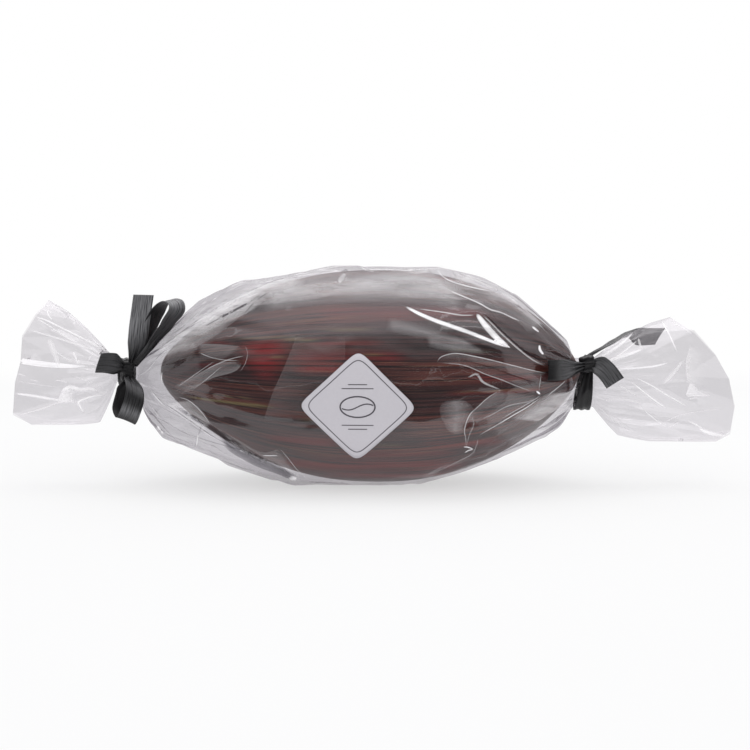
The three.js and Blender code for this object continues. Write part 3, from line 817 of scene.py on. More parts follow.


# ---------------------------------------------------------------- painted highlights, reflections and shade that lie on the film
# Thin painted lines of the front, from the photo: width, strength, and x and z of points along each line.
# A strength above 0 is a white painted highlight and one below 0 is painted shade.
SHEATH_PAINTED_LINES = [
    # the upper right: a large V-shaped painted highlight, the shoulder, and tubes that run into the neck
    (2.3, 1, [(15.3, 90.2), (18.1, 88.8), (22.1, 86.8), (28.6, 84.1), (36.8, 81.2), (45, 78.3),
      (53.3, 75), (59, 72.7), (65.2, 70.5)]),
    (3.5, 1, [(49.5, 86.6), (51.8, 83.4), (55.9, 78.5), (59.9, 74.5), (65, 70.7)]),
    (0.8, 0.5, [(20.5, 89.2), (32.8, 87.6), (42.4, 86), (48.7, 86)]),
    (0.75, 0.7, [(31, 107.4), (33.2, 104.5), (37.6, 101.7), (44.3, 99.6), (51.9, 97.8), (60.5, 96)]),
    (0.6, 0.35, [(60.5, 96), (68.1, 90.6), (74, 86), (80.1, 81.3), (87.8, 73.5)]),
    (1, 0.6, [(32.4, 99.4), (39, 96.4), (45.6, 93.7), (51.4, 91.2), (56.3, 88.4), (62.2, 86.6),
      (67.4, 84.1), (72.2, 82)]),
    (1.3, 0.9, [(77.3, 79.6), (78.8, 78.5), (80.9, 76.8)]),
    (1.7, 1, [(80.7, 70.9), (80.9, 68.5), (82.6, 66.3)]),
    (1.1, 0.35, [(51.9, 86.5), (56.4, 82.2), (61.7, 76.8), (70.2, 69.2), (77.1, 64), (83.4, 60.7)]),
    (1.1, -0.6, [(53.2, 86.8), (57.9, 82.1), (63.4, 76.7), (71.5, 69.6), (78.5, 64.9), (84.9, 61.5)]),
    (0.5, 0.55, [(30.2, 64.6), (31.7, 66.7), (34.9, 68), (39.1, 68.5), (49, 66.7), (61.4, 63.6),
      (78.7, 58.6), (84.3, 57.3)]),
    (0.5, 0.35, [(30.2, 64.6), (43.2, 62.8), (53.1, 58.5), (61.4, 55.4), (70.1, 51.6), (78.8, 48.2)]),
    (1.1, 1, [(78.7, 49.1), (79.8, 48.2), (80.7, 47.5)]),
    (0.7, -0.5, [(45.9, 64.3), (55.5, 61.8), (65.3, 58.1), (77.9, 53.1)]),
    (1.5, 0.35, [(44.8, 57.1), (49, 58.4), (52.2, 54.7), (60.6, 50.9)]),
    (0.5, 0.3, [(81.1, 57.4), (80.5, 53.4), (79.8, 48.6)]),
    # the lower right
    (0.55, 0.45, [(60.8, 50.9), (54.6, 47.1), (49.1, 42.3), (46.4, 39.9), (44.3, 35.6), (43.5, 31.3),
      (44.3, 26.7), (44.7, 22.7)]),
    (0.45, 0.3, [(46.8, 39.3), (47.8, 34.6), (46, 29.6), (44.8, 23.5)]),
    (0.45, 0.4, [(81.5, 46.2), (74.3, 44.2), (67.9, 43.4), (63.4, 42.4), (55.4, 38.4), (51.7, 37.2)]),
    (0.55, 0.7, [(81.5, 46.1), (75.6, 42.3), (68, 38.4), (61.7, 35), (55.6, 31.7), (50.7, 29)]),
    (0.45, -0.6, [(81.5, 46.7), (75.6, 43), (67.8, 39.2), (61.5, 35.7), (55.4, 32.5)]),
    (0.35, 0.5, [(81.5, 47.3), (75.5, 43.7), (67.7, 39.9), (61.2, 36.4)]),
    (0.45, 0.35, [(50.1, 27.7), (49.6, 23.7), (47.4, 19), (40.7, 15.2), (34.6, 11.2), (27.6, 8.3)]),
    (0.7, 1, [(43.3, 23.2), (45.5, 22.9), (48.1, 21.7)]),
    (0.65, 1, [(48.1, 21.7), (45.8, 21.2), (44, 20.1)]),
    (0.4, 0.35, [(90.7, 38.2), (88.9, 33.1), (87.9, 29.7)]),
    (0.6, 0.5, [(94.5, 53.1), (89.6, 49.7), (84.6, 46.4)]),
    (0.6, 0.5, [(102.1, 48.2), (94.6, 46.2), (87.6, 45.4)]),
    (0.5, 0.4, [(101, 42), (95.1, 38.9), (89.5, 37.1)]),
    # the top
    (3.5, 0.4, [(-16.4, 100.8), (-15.3, 102.9), (-13.2, 105.1)]),
    # the upper left
    (1.3, 0.5, [(-85.6, 78.4), (-79.7, 82.5), (-74.2, 86.7), (-65, 91.7), (-58.6, 94.7), (-51.9, 97.1)]),
    (1.4, -0.75, [(-80.6, 80.2), (-76.6, 82.9), (-71.2, 85.6), (-65.9, 88.3), (-60.7, 91.1),
      (-53.7, 95.7)]),
    (0.6, -0.5, [(-61.8, 86.3), (-59.1, 89.5), (-55.5, 93.2), (-49.9, 96.7)]),
    (0.5, 0.5, [(-91, 78.8), (-80.7, 84.5), (-68, 90.4)]),
    (0.5, 0.4, [(-97.5, 71.4), (-88.7, 77.5), (-76.9, 85.9), (-70.3, 92.5)]),
    (0.45, 0.35, [(-104.3, 66.8), (-95.2, 76.2), (-86.5, 84.9), (-77.9, 92.1)]),
    (0.45, -0.45, [(-114.2, 62.3), (-106.6, 67), (-100, 70.7), (-93.4, 74.8)]),
    (0.45, -0.4, [(-109.5, 59.7), (-102.6, 66.9), (-95.9, 72.5), (-87.6, 77.1)]),
    (0.45, 0.35, [(-80.3, 59.7), (-73.2, 63.2), (-66.9, 65.6), (-60.8, 67.1)]),
    (0.45, 0.35, [(-84, 68), (-77.9, 65.9), (-70.9, 64.8), (-63.5, 64.8)]),
    (0.35, 0.25, [(-60.8, 72), (-59.5, 68.3), (-60.6, 63.2), (-63, 59.4)]),
    (0.55, 0.8, [(-102.8, 57.5), (-102.9, 55.1), (-102.5, 52.5)]),
    (0.35, 0.3, [(-95.1, 50.3), (-84.3, 58.1), (-75.3, 64.2)]),
    (0.35, 0.3, [(-87.9, 48.9), (-78.8, 56), (-71.8, 61.9)]),
    (0.45, 0.4, [(-117.1, 53.6), (-110.6, 57.7), (-105.2, 64.4)]),
    # the lower left, where the film hangs free of the pod
    (0.45, 0.4, [(-103.6, 43.7), (-95.6, 38.6), (-86.6, 32.8), (-77.9, 27.4), (-69.2, 23.3)]),
    (0.65, 0.9, [(-64.2, 21.1), (-62.3, 19.9), (-60.4, 19)]),
    (3.8, -0.7, [(-96.2, 41.7), (-82.7, 34.3), (-70.3, 27.3), (-58.1, 19.2), (-45.9, 12.9),
      (-36.8, 7.5)]),
    (0.5, -0.7, [(-102.1, 42.8), (-94.3, 38.6), (-85.3, 32.7), (-76.6, 27), (-66.3, 21.7)]),
    (0.45, 0.4, [(-94.1, 46), (-88.8, 44.7), (-82.5, 39.4), (-77.6, 33.3)]),
    (0.65, 0.8, [(-86.9, 19.2), (-86, 23), (-84.9, 26.2), (-84.2, 28.1)]),
    (1.7, 1, [(-106.6, 30.2), (-105.2, 27.6), (-104.7, 24.7)]),
    (0.5, 0.8, [(-52.9, 18.8), (-49.3, 18.8), (-45.4, 19.1)]),
    (0.5, 0.35, [(-44.2, 22.5), (-40.1, 17.2), (-36.6, 12), (-30.8, 5.8)]),
    (3.2, 1, [(-40.7, 6.3), (-38.7, 6.4), (-36.7, 6.3)]),
    (0.45, -0.55, [(-104.8, 24.4), (-92.9, 19.6), (-80.5, 15.1), (-67.3, 11.1), (-54.2, 7.7)]),
    (0.6, 0.5, [(-109.2, 48.2), (-105.3, 44.7), (-101.1, 41.1)]),
    (0.45, 0.4, [(-111.8, 43.8), (-107.7, 38.5), (-104.1, 33.8)]),
]
LEFT_TAIL_PAINTED_LINES = [
    (1, 1, [(-166.4, 83.7), (-160.9, 81.9), (-153.2, 77.9), (-146.4, 74.3), (-140.5, 71.1)]),
    (1.7, 1, [(-143, 72.4), (-140.5, 71.1), (-134.4, 67.7), (-128.3, 63.9), (-125.8, 62.8)]),
    (0.5, 0.8, [(-166, 82.8), (-161.7, 80.6), (-156.5, 77.1), (-150.5, 73.1), (-144.6, 70.3)]),
    (1, 0.6, [(-168.8, 77.7), (-162.4, 75.4), (-155.6, 73.2), (-147.5, 70.4), (-142, 68.6),
      (-136.2, 65.8)]),
    (0.65, 0.95, [(-161.1, 87.7), (-160.8, 85.8), (-159.5, 83.6), (-158, 82.1)]),
    (0.6, 0.6, [(-163.5, 88.8), (-158.2, 88.5), (-152.9, 86.1), (-149.8, 84.1)]),
    (0.6, 0.9, [(-148.1, 81), (-147.8, 79.6)]),
    (1.2, 0.7, [(-147.9, 66.5), (-146.6, 63.8), (-145.3, 60.3)]),
    (3, 0.4, [(-159.9, 72.8), (-158, 69.4), (-156.1, 64.4), (-154.2, 58.5)]),
    (1, 0.35, [(-155.6, 66.4), (-151.3, 63.4), (-146.5, 60.9)]),
    (2.3, 0.95, [(-153.8, 43.7), (-153, 46.5), (-151.5, 48.2), (-149.5, 49.1), (-144.8, 47.8),
      (-140.6, 48), (-135.9, 46.7)]),
    (0.5, 0.5, [(-149.9, 45.4), (-147, 46.6), (-143.1, 46.8), (-139.3, 46.5)]),
    (1.3, 0.95, [(-133, 44.3), (-138.2, 44.3), (-142.5, 43), (-145.8, 41.3), (-145.1, 38.8),
      (-143.6, 35.5)]),
    (1.6, 0.9, [(-176.7, 46), (-170.7, 45.3), (-164.3, 44.3), (-157.9, 43.1), (-152.8, 42.5)]),
    (0.8, 0.6, [(-175.6, 35.1), (-166.8, 37.3), (-160.2, 39.5), (-155.9, 41.2), (-149.4, 41.6)]),
    (0.5, 0.5, [(-175, 55.8), (-173.1, 55.4), (-170.7, 54.6)]),
    (0.5, 0.5, [(-169.1, 52.6), (-166.9, 52.5), (-164.8, 52.1)]),
    (0.6, 0.6, [(-156.4, 52.5), (-153.5, 52.3), (-150.2, 51.2)]),
    (0.4, 0.35, [(-175.1, 52.3), (-166.5, 50.7), (-154.6, 49)]),
    (0.8, 0.5, [(-140.6, 61.7), (-139.9, 63.7), (-138.1, 64.8)]),
    (0.5, 0.35, [(-148.6, 54.9), (-142.9, 52.8), (-137.3, 49.7), (-133.6, 47.6)]),
]
RIGHT_TAIL_PAINTED_LINES = [
    (1.1, 0.9, [(118.2, 57.5), (121.2, 57.9), (133.3, 58.9), (139.9, 59.9), (145, 61.3)]),
    (0.75, 0.9, [(128.9, 54.1), (136.8, 50.2), (144.1, 45.7), (150.3, 42.3), (154.8, 39.5)]),
    (1, 1, [(126.9, 52), (135.8, 45), (140.2, 41.7), (144.8, 38.8)]),
    (0.6, 0.7, [(131.5, 39.7), (139.6, 32.9), (145.9, 28.9)]),
    (0.6, 0.6, [(146.4, 28.3), (148.5, 29.8), (151.7, 31.7)]),
    (1.1, 0.9, [(143.4, 81.7), (144.4, 79), (145.8, 75.5), (147.4, 71.4), (149.4, 66.7)]),
    (0.6, 0.7, [(148.1, 81), (152.6, 78.3), (157.2, 75.1)]),
    (1.3, 0.6, [(154.1, 44.7), (158.9, 45), (165.7, 45.3)]),
    (2.2, 1, [(161.6, 28.5), (164.6, 26.8), (169.1, 25.4), (175.9, 24.3)]),
    (0.8, 0.8, [(155.8, 32.1), (159.6, 30.4), (163.3, 28.3)]),
    (2, 0.95, [(114.5, 60.8), (120.2, 63), (125.7, 64.9), (133.5, 68)]),
    (1.3, 0.9, [(112.8, 63), (117.2, 65.9), (122.3, 69.4), (129.8, 75.4)]),
    (1, 0.8, [(118.3, 62.1), (125.2, 67.1), (130.6, 71.8)]),
    (0.6, 0.6, [(120.6, 50.7), (125.5, 47.5), (130.7, 44.6)]),
    (0.5, 0.5, [(112, 39), (119.1, 32.4), (128.2, 26.6)]),
    (1.7, 0.45, [(114.9, 41.7), (120.4, 42.5), (125.9, 42.5), (134.2, 40.3)]),
    (1.5, 0.6, [(132.5, 68), (131.7, 70.5), (131.3, 73)]),
    (0.5, 0.5, [(133.9, 19.3), (148.9, 20), (163.5, 22.1)]),
    (0.6, 0.5, [(155.1, 42.9), (158, 43.7), (160.9, 44)]),
    (0.5, 0.4, [(142.2, 30), (151.6, 34.8), (163.5, 37.4), (171.7, 38.5)]),
    (2.5, 0.35, [(142.8, 50.7), (148, 56.7), (152.4, 62.6)]),
]
# Broader painted patches: the strength at one edge, halfway and at the other, and both edges. A strength
# above 0 is a painted reflection and one below 0 is painted shade.
SHEATH_PAINTED_PATCHES = [
    ((0.07, 0.38, 0.14), [(-104, 64), (-97.6, 66.3), (-87.1, 69.3), (-74.7, 76.3), (-62.7, 85.3),
      (-53.3, 90)],
     [(-106.8, 71.8), (-101.7, 76.8), (-92, 84.9), (-78.5, 92.1), (-65.9, 97.1), (-56.4, 100.4)]),
    ((0.02, 0.32, 0.1), [(-53.1, 87.3), (-42, 88.8), (-25.3, 90.8), (-6.2, 91.7), (12.9, 91.7),
      (31.9, 89.9), (43.9, 87.4)],
     [(-54.3, 100), (-43.1, 101.9), (-26, 105), (-6.4, 106), (13.2, 106), (32.6, 104.3), (46.2, 99.7)]),
    ((0.08, 0.4, 0.35), [(84.8, 48.1), (78.1, 43.3), (70.6, 39.4), (65.7, 35.7)],
     [(100.8, 47.6), (94.9, 42.1), (86.8, 37), (79.1, 32.6)]),
    ((1.0, 1.0, 1.0), [(57.1, 73.4), (60.9, 71.7), (65.4, 70.5)],
     [(58.4, 75.2), (60.8, 73.8), (65.4, 70.7)]),
    ((-0.45, -0.8, -0.5), [(-76.3, 30.7), (-66.2, 24.6), (-56.1, 18.8), (-45.7, 12.8), (-36.2, 7.4)],
     [(-71.9, 22), (-64.3, 16.5), (-54.7, 11.4), (-46, 8.5), (-39.3, 5.3)]),
    ((0.1, 0.3, 0.5), [(-87, 72.8), (-73.7, 80.4), (-61.4, 86), (-54.3, 91.2), (-46.4, 94.8),
      (-30.9, 96.2)],
     [(-88.8, 82.1), (-74.6, 89.2), (-65.4, 94), (-56.2, 98.2), (-47.2, 101.7), (-31.5, 103.4)]),
    ((0.12, 0.07, 0.03), [(-84.3, 71.7), (-73, 72), (-62.1, 71.3)],
     [(-83.5, 67), (-76.8, 65.3), (-70.7, 65.1)]),
    ((0.12, 0.05, 0.12), [(-97.2, 50.5), (-83.3, 58), (-73.2, 63.2), (-63.2, 64.3)],
     [(-91.2, 47.8), (-77, 55.8), (-65, 59.9), (-62.1, 62.9)]),
    ((0.14, 0.06, 0.0), [(-101.5, 67), (-93.5, 70.8), (-84.7, 72.2)],
     [(-101.1, 60.5), (-92.1, 64.8), (-84, 67.6)]),
    ((0.045, 0.03, 0.02), [(-35.9, 77), (-41.5, 63), (-47.7, 48.8), (-52.1, 35.7)],
     [(-13.2, 77.1), (-13.1, 63.2), (-15.5, 49.1), (-17.9, 36.2)]),
    ((0.09, 0.02, 0.05), [(31.7, 66.7), (39.1, 68.5), (49, 66.7), (61.4, 63.6), (78.7, 58.6),
      (84.3, 57.3)],
     [(30.6, 64.6), (43.2, 62.8), (53.1, 58.5), (61.4, 55.4), (70.1, 51.6), (79.5, 48.1)]),
    ((0.03, 0.16, 0.03), [(34.5, 46.6), (31.6, 42.9), (32.6, 37.1), (36.6, 30)],
     [(42.1, 47.4), (47.9, 41.9), (46.1, 36.6), (41.4, 28.8)]),
    ((0.11, 0.06, 0.1), [(60.8, 50.9), (54.6, 47.1), (49.1, 42.3), (46.4, 39.9), (44.3, 35.6)],
     [(81.5, 46.2), (75.6, 42.3), (68, 38.4), (61.7, 35), (53, 30.3)]),
    ((0.08, 0.06, 0.12), [(81.5, 46.2), (75.6, 42.3), (68, 38.4), (61.7, 35), (55.6, 31.7)],
     [(98.5, 44.4), (92.9, 37.2), (85.6, 30.8), (76.6, 25.7), (65.7, 21.2)]),
    ((0.06, 0.14, 0.42), [(32.4, 99.4), (45.6, 93.7), (56.3, 88.4), (67.4, 84.1), (76.9, 75.3)],
     [(37.9, 106.2), (52.6, 101.3), (64.8, 95), (77.1, 85.7), (85.3, 79.1)]),
    ((0.0, 0.3, 0.1), [(-12.4, 96.7), (12.5, 99), (25.5, 98.6), (37, 94.9)],
     [(-13.6, 102.7), (12.7, 106.3), (27.9, 105.4), (38.3, 100.3)]),
    ((0.0, 0.16, 0.0), [(7.2, 85.8), (17.6, 83.5), (31.7, 79.4), (46, 74.5)],
     [(5.7, 78.9), (17.5, 76.6), (34, 72.9), (50.7, 69.8)]),
    ((0.0, 0.13, 0.0), [(25.1, 78), (36.4, 74.7), (50.8, 71.7)],
     [(25, 71.6), (37.3, 68.7), (55.5, 66.9)]),
    ((0.08, 0.12, 0.2), [(-77.7, 33.3), (-66, 27.2), (-53.1, 20.5), (-44.3, 22.5)],
     [(-70.6, 25.9), (-59.1, 18.6), (-46.3, 11.6), (-34.3, 7.4)]),
    ((0.12, 0.2, 0.3), [(-88.9, 45.4), (-82.5, 40.3), (-77.7, 33.6)],
     [(-101, 43.1), (-90.8, 36.4), (-80, 28.9)]),
]
LEFT_TAIL_PAINTED_PATCHES = [
    ((1.0, 1.0, 1.0), [(-172.2, 63.4), (-161.6, 61.9), (-144.5, 59.9), (-140.6, 59.3)],
     [(-174.2, 60.9), (-161.6, 59.2), (-148.8, 58.7), (-140.6, 59.2)]),
    ((0.6, 0.7, 0.2), [(-155.8, 41.5), (-154.8, 44.5), (-151.7, 48.4)],
     [(-147.2, 40.8), (-148.5, 44.4), (-147.9, 47.9)]),
]
RIGHT_TAIL_PAINTED_PATCHES = [
    ((0.6, 0.5, 0.2), [(156.3, 51.8), (155, 47.9), (154.1, 44.9)],
     [(157.8, 50.9), (160.8, 47.4), (165.7, 45)]),
    ((0.3, 0.15, 0.0), [(155.8, 70), (153.8, 60.2), (154.9, 50.3)],
     [(162.5, 67.6), (162.5, 57.8), (163.6, 48.9)]),
]
PAINTED_LIGHT_LIFT = 0.2  # mm between the painted light and shade strips and the film that they lie on
BACK_LEAVES_OUT = 0.3  # share of the front's painted light and shade strips that the back doesn't repeat


def film_tree(points):
    """A film's grid of points, ready to be met by lines."""
    faces = grid_faces(*points.shape[:2], closed_columns=True)
    return BVHTree.FromPolygons(points.reshape(-1, 3).tolist(), faces.tolist())


def laid_on(tree, x, z, side):
    """The points of the film at each x and z, seen from side: -1 is the front and 1 the back."""
    laid = np.zeros(x.shape + (3,))
    for index in np.ndindex(x.shape):
        spot = tree.ray_cast(Vector((x[index], side * 200, z[index])), Vector((0, -side, 0)))[0]
        if spot is None:
            spot = tree.find_nearest(Vector((x[index], side * 10, z[index])))[0]
        laid[index] = spot
    laid[..., 1] += side * PAINTED_LIGHT_LIFT
    return laid


def thin_painted_line(line, width):
    """A thin painted line, of highlight where its table strength is above 0 and of shade below, that tapers
    to both ends: the x and z of its points, and its strength from 0 to 1 there.
    """
    t = np.linspace(0, 1, 32)
    centre = catmull_rom(line, t)
    run = unit(np.gradient(centre, axis=0))
    taper = np.sin(math.pi * t)[:, None] ** 0.6
    across = np.array([[-1, -0.6, 0, 0.6, 1]])
    offset = across * width / 2 * (0.25 + 0.75 * taper)
    strength = (1 - np.abs(across) ** 3) * smooth(1.6 * taper)
    return centre[:, :1] - run[:, 1:] * offset, centre[:, 1:] + run[:, :1] * offset, strength


def broad_painted_patch(strengths, edge_a, edge_b):
    """A painted patch between two edges, made like a thin painted line: painted reflection where strengths
    are above 0 and painted shade below. strengths are those at the edges and halfway.
    """
    t = np.linspace(0, 1, 32)
    s = np.linspace(0, 1, 13)[None, :]
    a, b = catmull_rom(edge_a, t), catmull_rom(edge_b, t)
    fade = np.ones((len(t), 1)) if min(strengths) == 1 else smooth(np.minimum(t, 1 - t) / 0.12)[:, None]
    strength = np.interp(s, (0, 0.5, 1), strengths) * fade
    return mix(a[:, :1], b[:, :1], s), mix(a[:, 1:], b[:, 1:], s), strength


def make_painted_light(name, film_points, thin, broad, material, both_sides=False):
    """All the painted highlights, reflections and shade that lie on one film as one mesh. The back gets its
    own random share of them.
    """
    tree = film_tree(film_points)
    draw = np.random.default_rng(77)
    folds = []

    def lay(x, z, strength, side):
        points = laid_on(tree, x, z, side).reshape(-1, 3)
        folds.append((points, grid_faces(*x.shape).tolist(), strength.ravel()))

    for side in (-1, 1) if both_sides else (-1,):
        for fold in broad:
            if side == 1 and draw.random() < BACK_LEAVES_OUT:
                continue
            lay(*broad_painted_patch(*fold), side)
        for width, most, line in thin:
            x, z, strength = thin_painted_line(line, width)
            if side == 1:
                if draw.random() < BACK_LEAVES_OUT:
                    continue
                x, z = x + draw.uniform(-4, 4), z + draw.uniform(-2, 2)
            lay(x, z, most * strength, side)
    vertices, faces, strength = joined(folds)
    # painted highlights and reflections where the strength is above 0, painted shade where it is below
    values = {"painted_highlight": np.maximum(strength, 0), "shade": np.maximum(-strength, 0)}
    return new_object(name, vertices, faces, material, values)


# ---------------------------------------------------------------- the label
PRINT_LIFT = 0.06  # mm of ink over the paper
BORDER_INSET = 2.4
# Short level rules of the print: height above the label's middle, and half the length.
PRINT_RULES = ((9.2, 7.5), (11.2, 4.5), (-9.2, 7.5), (-11.2, 4.5))


def front_of_film(x, z, lift):
    """The point at a distance of lift outside the film's smooth front, over the place x, z."""
    middle, half, depth = section_at(x)
    height = (z - middle) / half
    power = np.where(height < 0, SAG_POWER, 2)
    y = -depth * (1 - np.minimum(1, np.abs(height)) ** power) ** (1 / power)
    out_y = -((np.abs(y) / depth) ** (power - 1)) / depth
    out_z = np.sign(height) * np.abs(height) ** (power - 1) / half
    size = np.hypot(out_y, out_z)
    return np.stack([x, y + lift * out_y / size, z + lift * out_z / size], axis=-1)


def on_label(u, v, lift):
    """A point of the label's own square, u across and v up before it is turned onto its corner."""
    c, s = math.cos(LABEL_TURN), math.sin(LABEL_TURN)
    x, z = u * c - v * s, u * s + v * c
    return front_of_film(LABEL_CENTRE[0] + x, LABEL_CENTRE[1] + z * LABEL_LEAN, lift)


def rounded_square(half, corner, count):
    """count points round a square with rounded corners, evenly spaced in angle."""
    angle = full_turn(count)
    c, s = np.cos(angle), np.sin(angle)
    power = 2 * half / corner * 0.75
    size = half / (np.abs(c) ** power + np.abs(s) ** power) ** (1 / power)
    return size * c, size * s


def make_label():
    count, rings = 240, 14
    u, v = rounded_square(LABEL_SIDE / 2, LABEL_CORNER, count)
    share = np.linspace(0.02, 1, rings)[:, None]
    front = on_label(u * share, v * share, LABEL_LIFT + LABEL_THICKNESS)
    back = on_label(u * share, v * share, LABEL_LIFT)[::-1]
    vertices = np.concatenate([front, back]).reshape(-1, 3)
    paper = paper_material("label_paper", rgb(197, 194, 200), rgb(189, 186, 193), 0.42)
    return new_object("label_paper", vertices, closed_tube_faces(2 * rings, count), paper)


def print_band(u, v, normal_u, normal_v, width, closed):
    """A thin strip of print along a line of points on the label: vertices and faces."""
    lift = LABEL_LIFT + LABEL_THICKNESS + PRINT_LIFT
    half_u, half_v = normal_u * width / 2, normal_v * width / 2
    edges = [on_label(u + side * half_u, v + side * half_v, lift) for side in (-1, 1)]
    return np.stack(edges, axis=1).reshape(-1, 3), grid_faces(len(u), 2, closed_rows=closed)


def line_normals(u, v, closed):
    """The direction across a line of points, as unit vectors."""
    if closed:
        du, dv = np.roll(u, -1) - np.roll(u, 1), np.roll(v, -1) - np.roll(v, 1)
    else:
        du, dv = np.gradient(u), np.gradient(v)
    size = np.hypot(du, dv)
    return dv / size, -du / size


def make_label_print():
    """A thin border, a plain cocoa bean and short rules: simple shapes and no lettering."""
    strips = []
    border_u, border_v = rounded_square(LABEL_SIDE / 2 - BORDER_INSET, LABEL_CORNER, 240)
    strips.append((border_u, border_v, 0.42, True))
    angle = full_turn(90)
    c, s = math.cos(-LABEL_TURN), math.sin(-LABEL_TURN)

    def upright(x, z):
        """Label coordinates of a place x across and z up, as seen from the front."""
        return x * c - z * s, x * s + z * c

    strips.append((*upright(8.2 * np.cos(angle), 5.2 * np.sin(angle)), 0.7, True))
    t = np.linspace(-1, 1, 40)
    strips.append((*upright(7.4 * t, 1.5 * np.sin(2.6 * t)), 0.6, False))
    for z, half in PRINT_RULES:
        strips.append((*upright(half * t, z + 0 * t), 0.45, False))
    bands = [print_band(u, v, *line_normals(u, v, closed), width, closed) for u, v, width, closed in strips]
    ink = paper_material("label_ink", rgb(72, 68, 76), rgb(84, 80, 88), 0.5)
    return new_object("label_print", *joined(bands), ink)


# ---------------------------------------------------------------- the ribbons
RIBBON_WIDTH = 10
RIBBON_THICKNESS = 0.36
RIBBON_BUNCHED = 0.34  # share of its width that a ribbon keeps where it goes into the knot
FILM_CLEARANCE = 1.2


def off_the_film(centre, wide):
    """How far each ribbon section moves out from the pod's axis to lie on the film."""
    shift = np.zeros_like(centre)
    needed = np.zeros(len(centre))
    for side in (-1, 0, 1):
        p = centre + side * wide
        middle, half, depth = section_at(p[:, 0])
        out = np.stack([0 * middle, p[:, 1], p[:, 2] - middle], axis=1)
        reach = np.hypot(out[:, 1] / depth, out[:, 2] / half)
        length = np.linalg.norm(out, axis=1)
        push = length * (1 / np.maximum(0.2, reach) - 1) + FILM_CLEARANCE
        better = push > needed
        needed = np.where(better, push, needed)
        direction = out / np.maximum(length, TINY)[:, None]
        shift = np.where(better[:, None], direction * push[:, None], shift)
    return shift


def there_and_back(one_side, other_side):
    """Rings that run across one side of a ribbon and back across the other, as a list of points."""
    return np.concatenate([one_side, other_side[:, ::-1]], axis=1).reshape(-1, 3)


def ribbon_strip(path, widths, bunched_ends, painted_sheen, curl=0.5, seed=1, opens_by=0.45):
    """One length of flat ribbon: a thin closed strip with a slight curl and folds where it is bunched.

    The painted sheen says how much it catches the light, from its start to its end.
    """
    rows, columns = 90, 13
    t = np.linspace(0, 1, rows)
    centre = catmull_rom(path, t)
    wide = unit(catmull_rom(widths, t))
    tangent = unit(np.gradient(centre, axis=0))
    thick = unit(np.cross(tangent, wide))
    ends = np.minimum(t, 1 - t) * 2 if bunched_ends == 2 else t
    open_share = smooth(ends / opens_by)
    bunch = mix(RIBBON_BUNCHED, 1, open_share)
    centre = centre + off_the_film(centre, wide * (RIBBON_WIDTH / 2 * bunch)[:, None])
    across = np.linspace(-1, 1, columns)
    draw = np.random.default_rng(seed)
    folds = (1 - open_share)[:, None] * 1.1 * np.cos(across * 8.5 + draw.uniform(0, 6))[None, :]
    bow = curl * open_share[:, None] * (across[None, :] ** 2 - 0.4)
    t_grid, across_grid = np.meshgrid(t, across, indexing="ij")
    waver = 0.25 * lattice_noise(t_grid * 7, across_grid * 1.2 + 5, seed + 3)
    lift = folds + bow + waver
    surface = (
        centre[:, None, :]
        + wide[:, None, :] * (across[None, :, None] * RIBBON_WIDTH / 2) * bunch[:, None, None]
        + thick[:, None, :] * lift[..., None]
    )
    half = thick[:, None, :] * RIBBON_THICKNESS / 2
    length = np.concatenate([[0], np.cumsum(np.linalg.norm(np.diff(centre, axis=0), axis=1))])
    # the painted sheen along the strip
    lit = np.interp(t, np.linspace(0, 1, len(painted_sheen)), painted_sheen)[:, None]
    weave = np.stack(np.broadcast_arrays(across[None, :] * RIBBON_WIDTH / 2, length[:, None], lit), axis=-1)
    faces = grid_faces(rows, 2 * columns, closed_columns=True).tolist()
    for k in range(columns - 1):
        for base, turned in ((0, 1), ((rows - 1) * 2 * columns, -1)):
            quad = [base + k, base + k + 1, base + 2 * columns - 2 - k, base + 2 * columns - 1 - k]
            faces.append(quad[::-turned])
    return there_and_back(surface + half, surface - half), faces, there_and_back(weave, weave)


def neck_band(neck, width, lean, top=1.0, shift=0.0):
    """The ribbon's turn round a neck, pressed into wrinkles. top is its share of the width at the top."""
    around, across = 120, 11
    turn = full_turn(around)[:, None]
    v = np.linspace(-1, 1, across)[None, :]
    wrinkle = 0.3 * np.cos(v * 7 + 1.3 * np.sin(turn * 2)) + 0.1 * np.cos(turn * 9 + v * 3)
    wrinkle = wrinkle * (1 - v**4)
    shells = []
    for grow in (1.5, 1.0):
        narrow = mix(1, top, smooth((np.sin(turn) + 1) / 2))
        x = neck["x"] + shift + width / 2 * v * narrow + lean / 2 * np.sin(turn)
        out = grow + wrinkle
        y = (neck["half_depth"] + out) * np.cos(turn)
        z = neck["z"] + (neck["half_height"] + out) * np.sin(turn)
        shells.append(np.stack(np.broadcast_arrays(x, y, z), axis=-1))
    weave = np.stack(np.broadcast_arrays(v * width / 2, turn * 8, 0.0), axis=-1)
    faces = grid_faces(around, 2 * across, closed_rows=True, closed_columns=True).tolist()
    return there_and_back(*shells), faces, there_and_back(weave, weave)


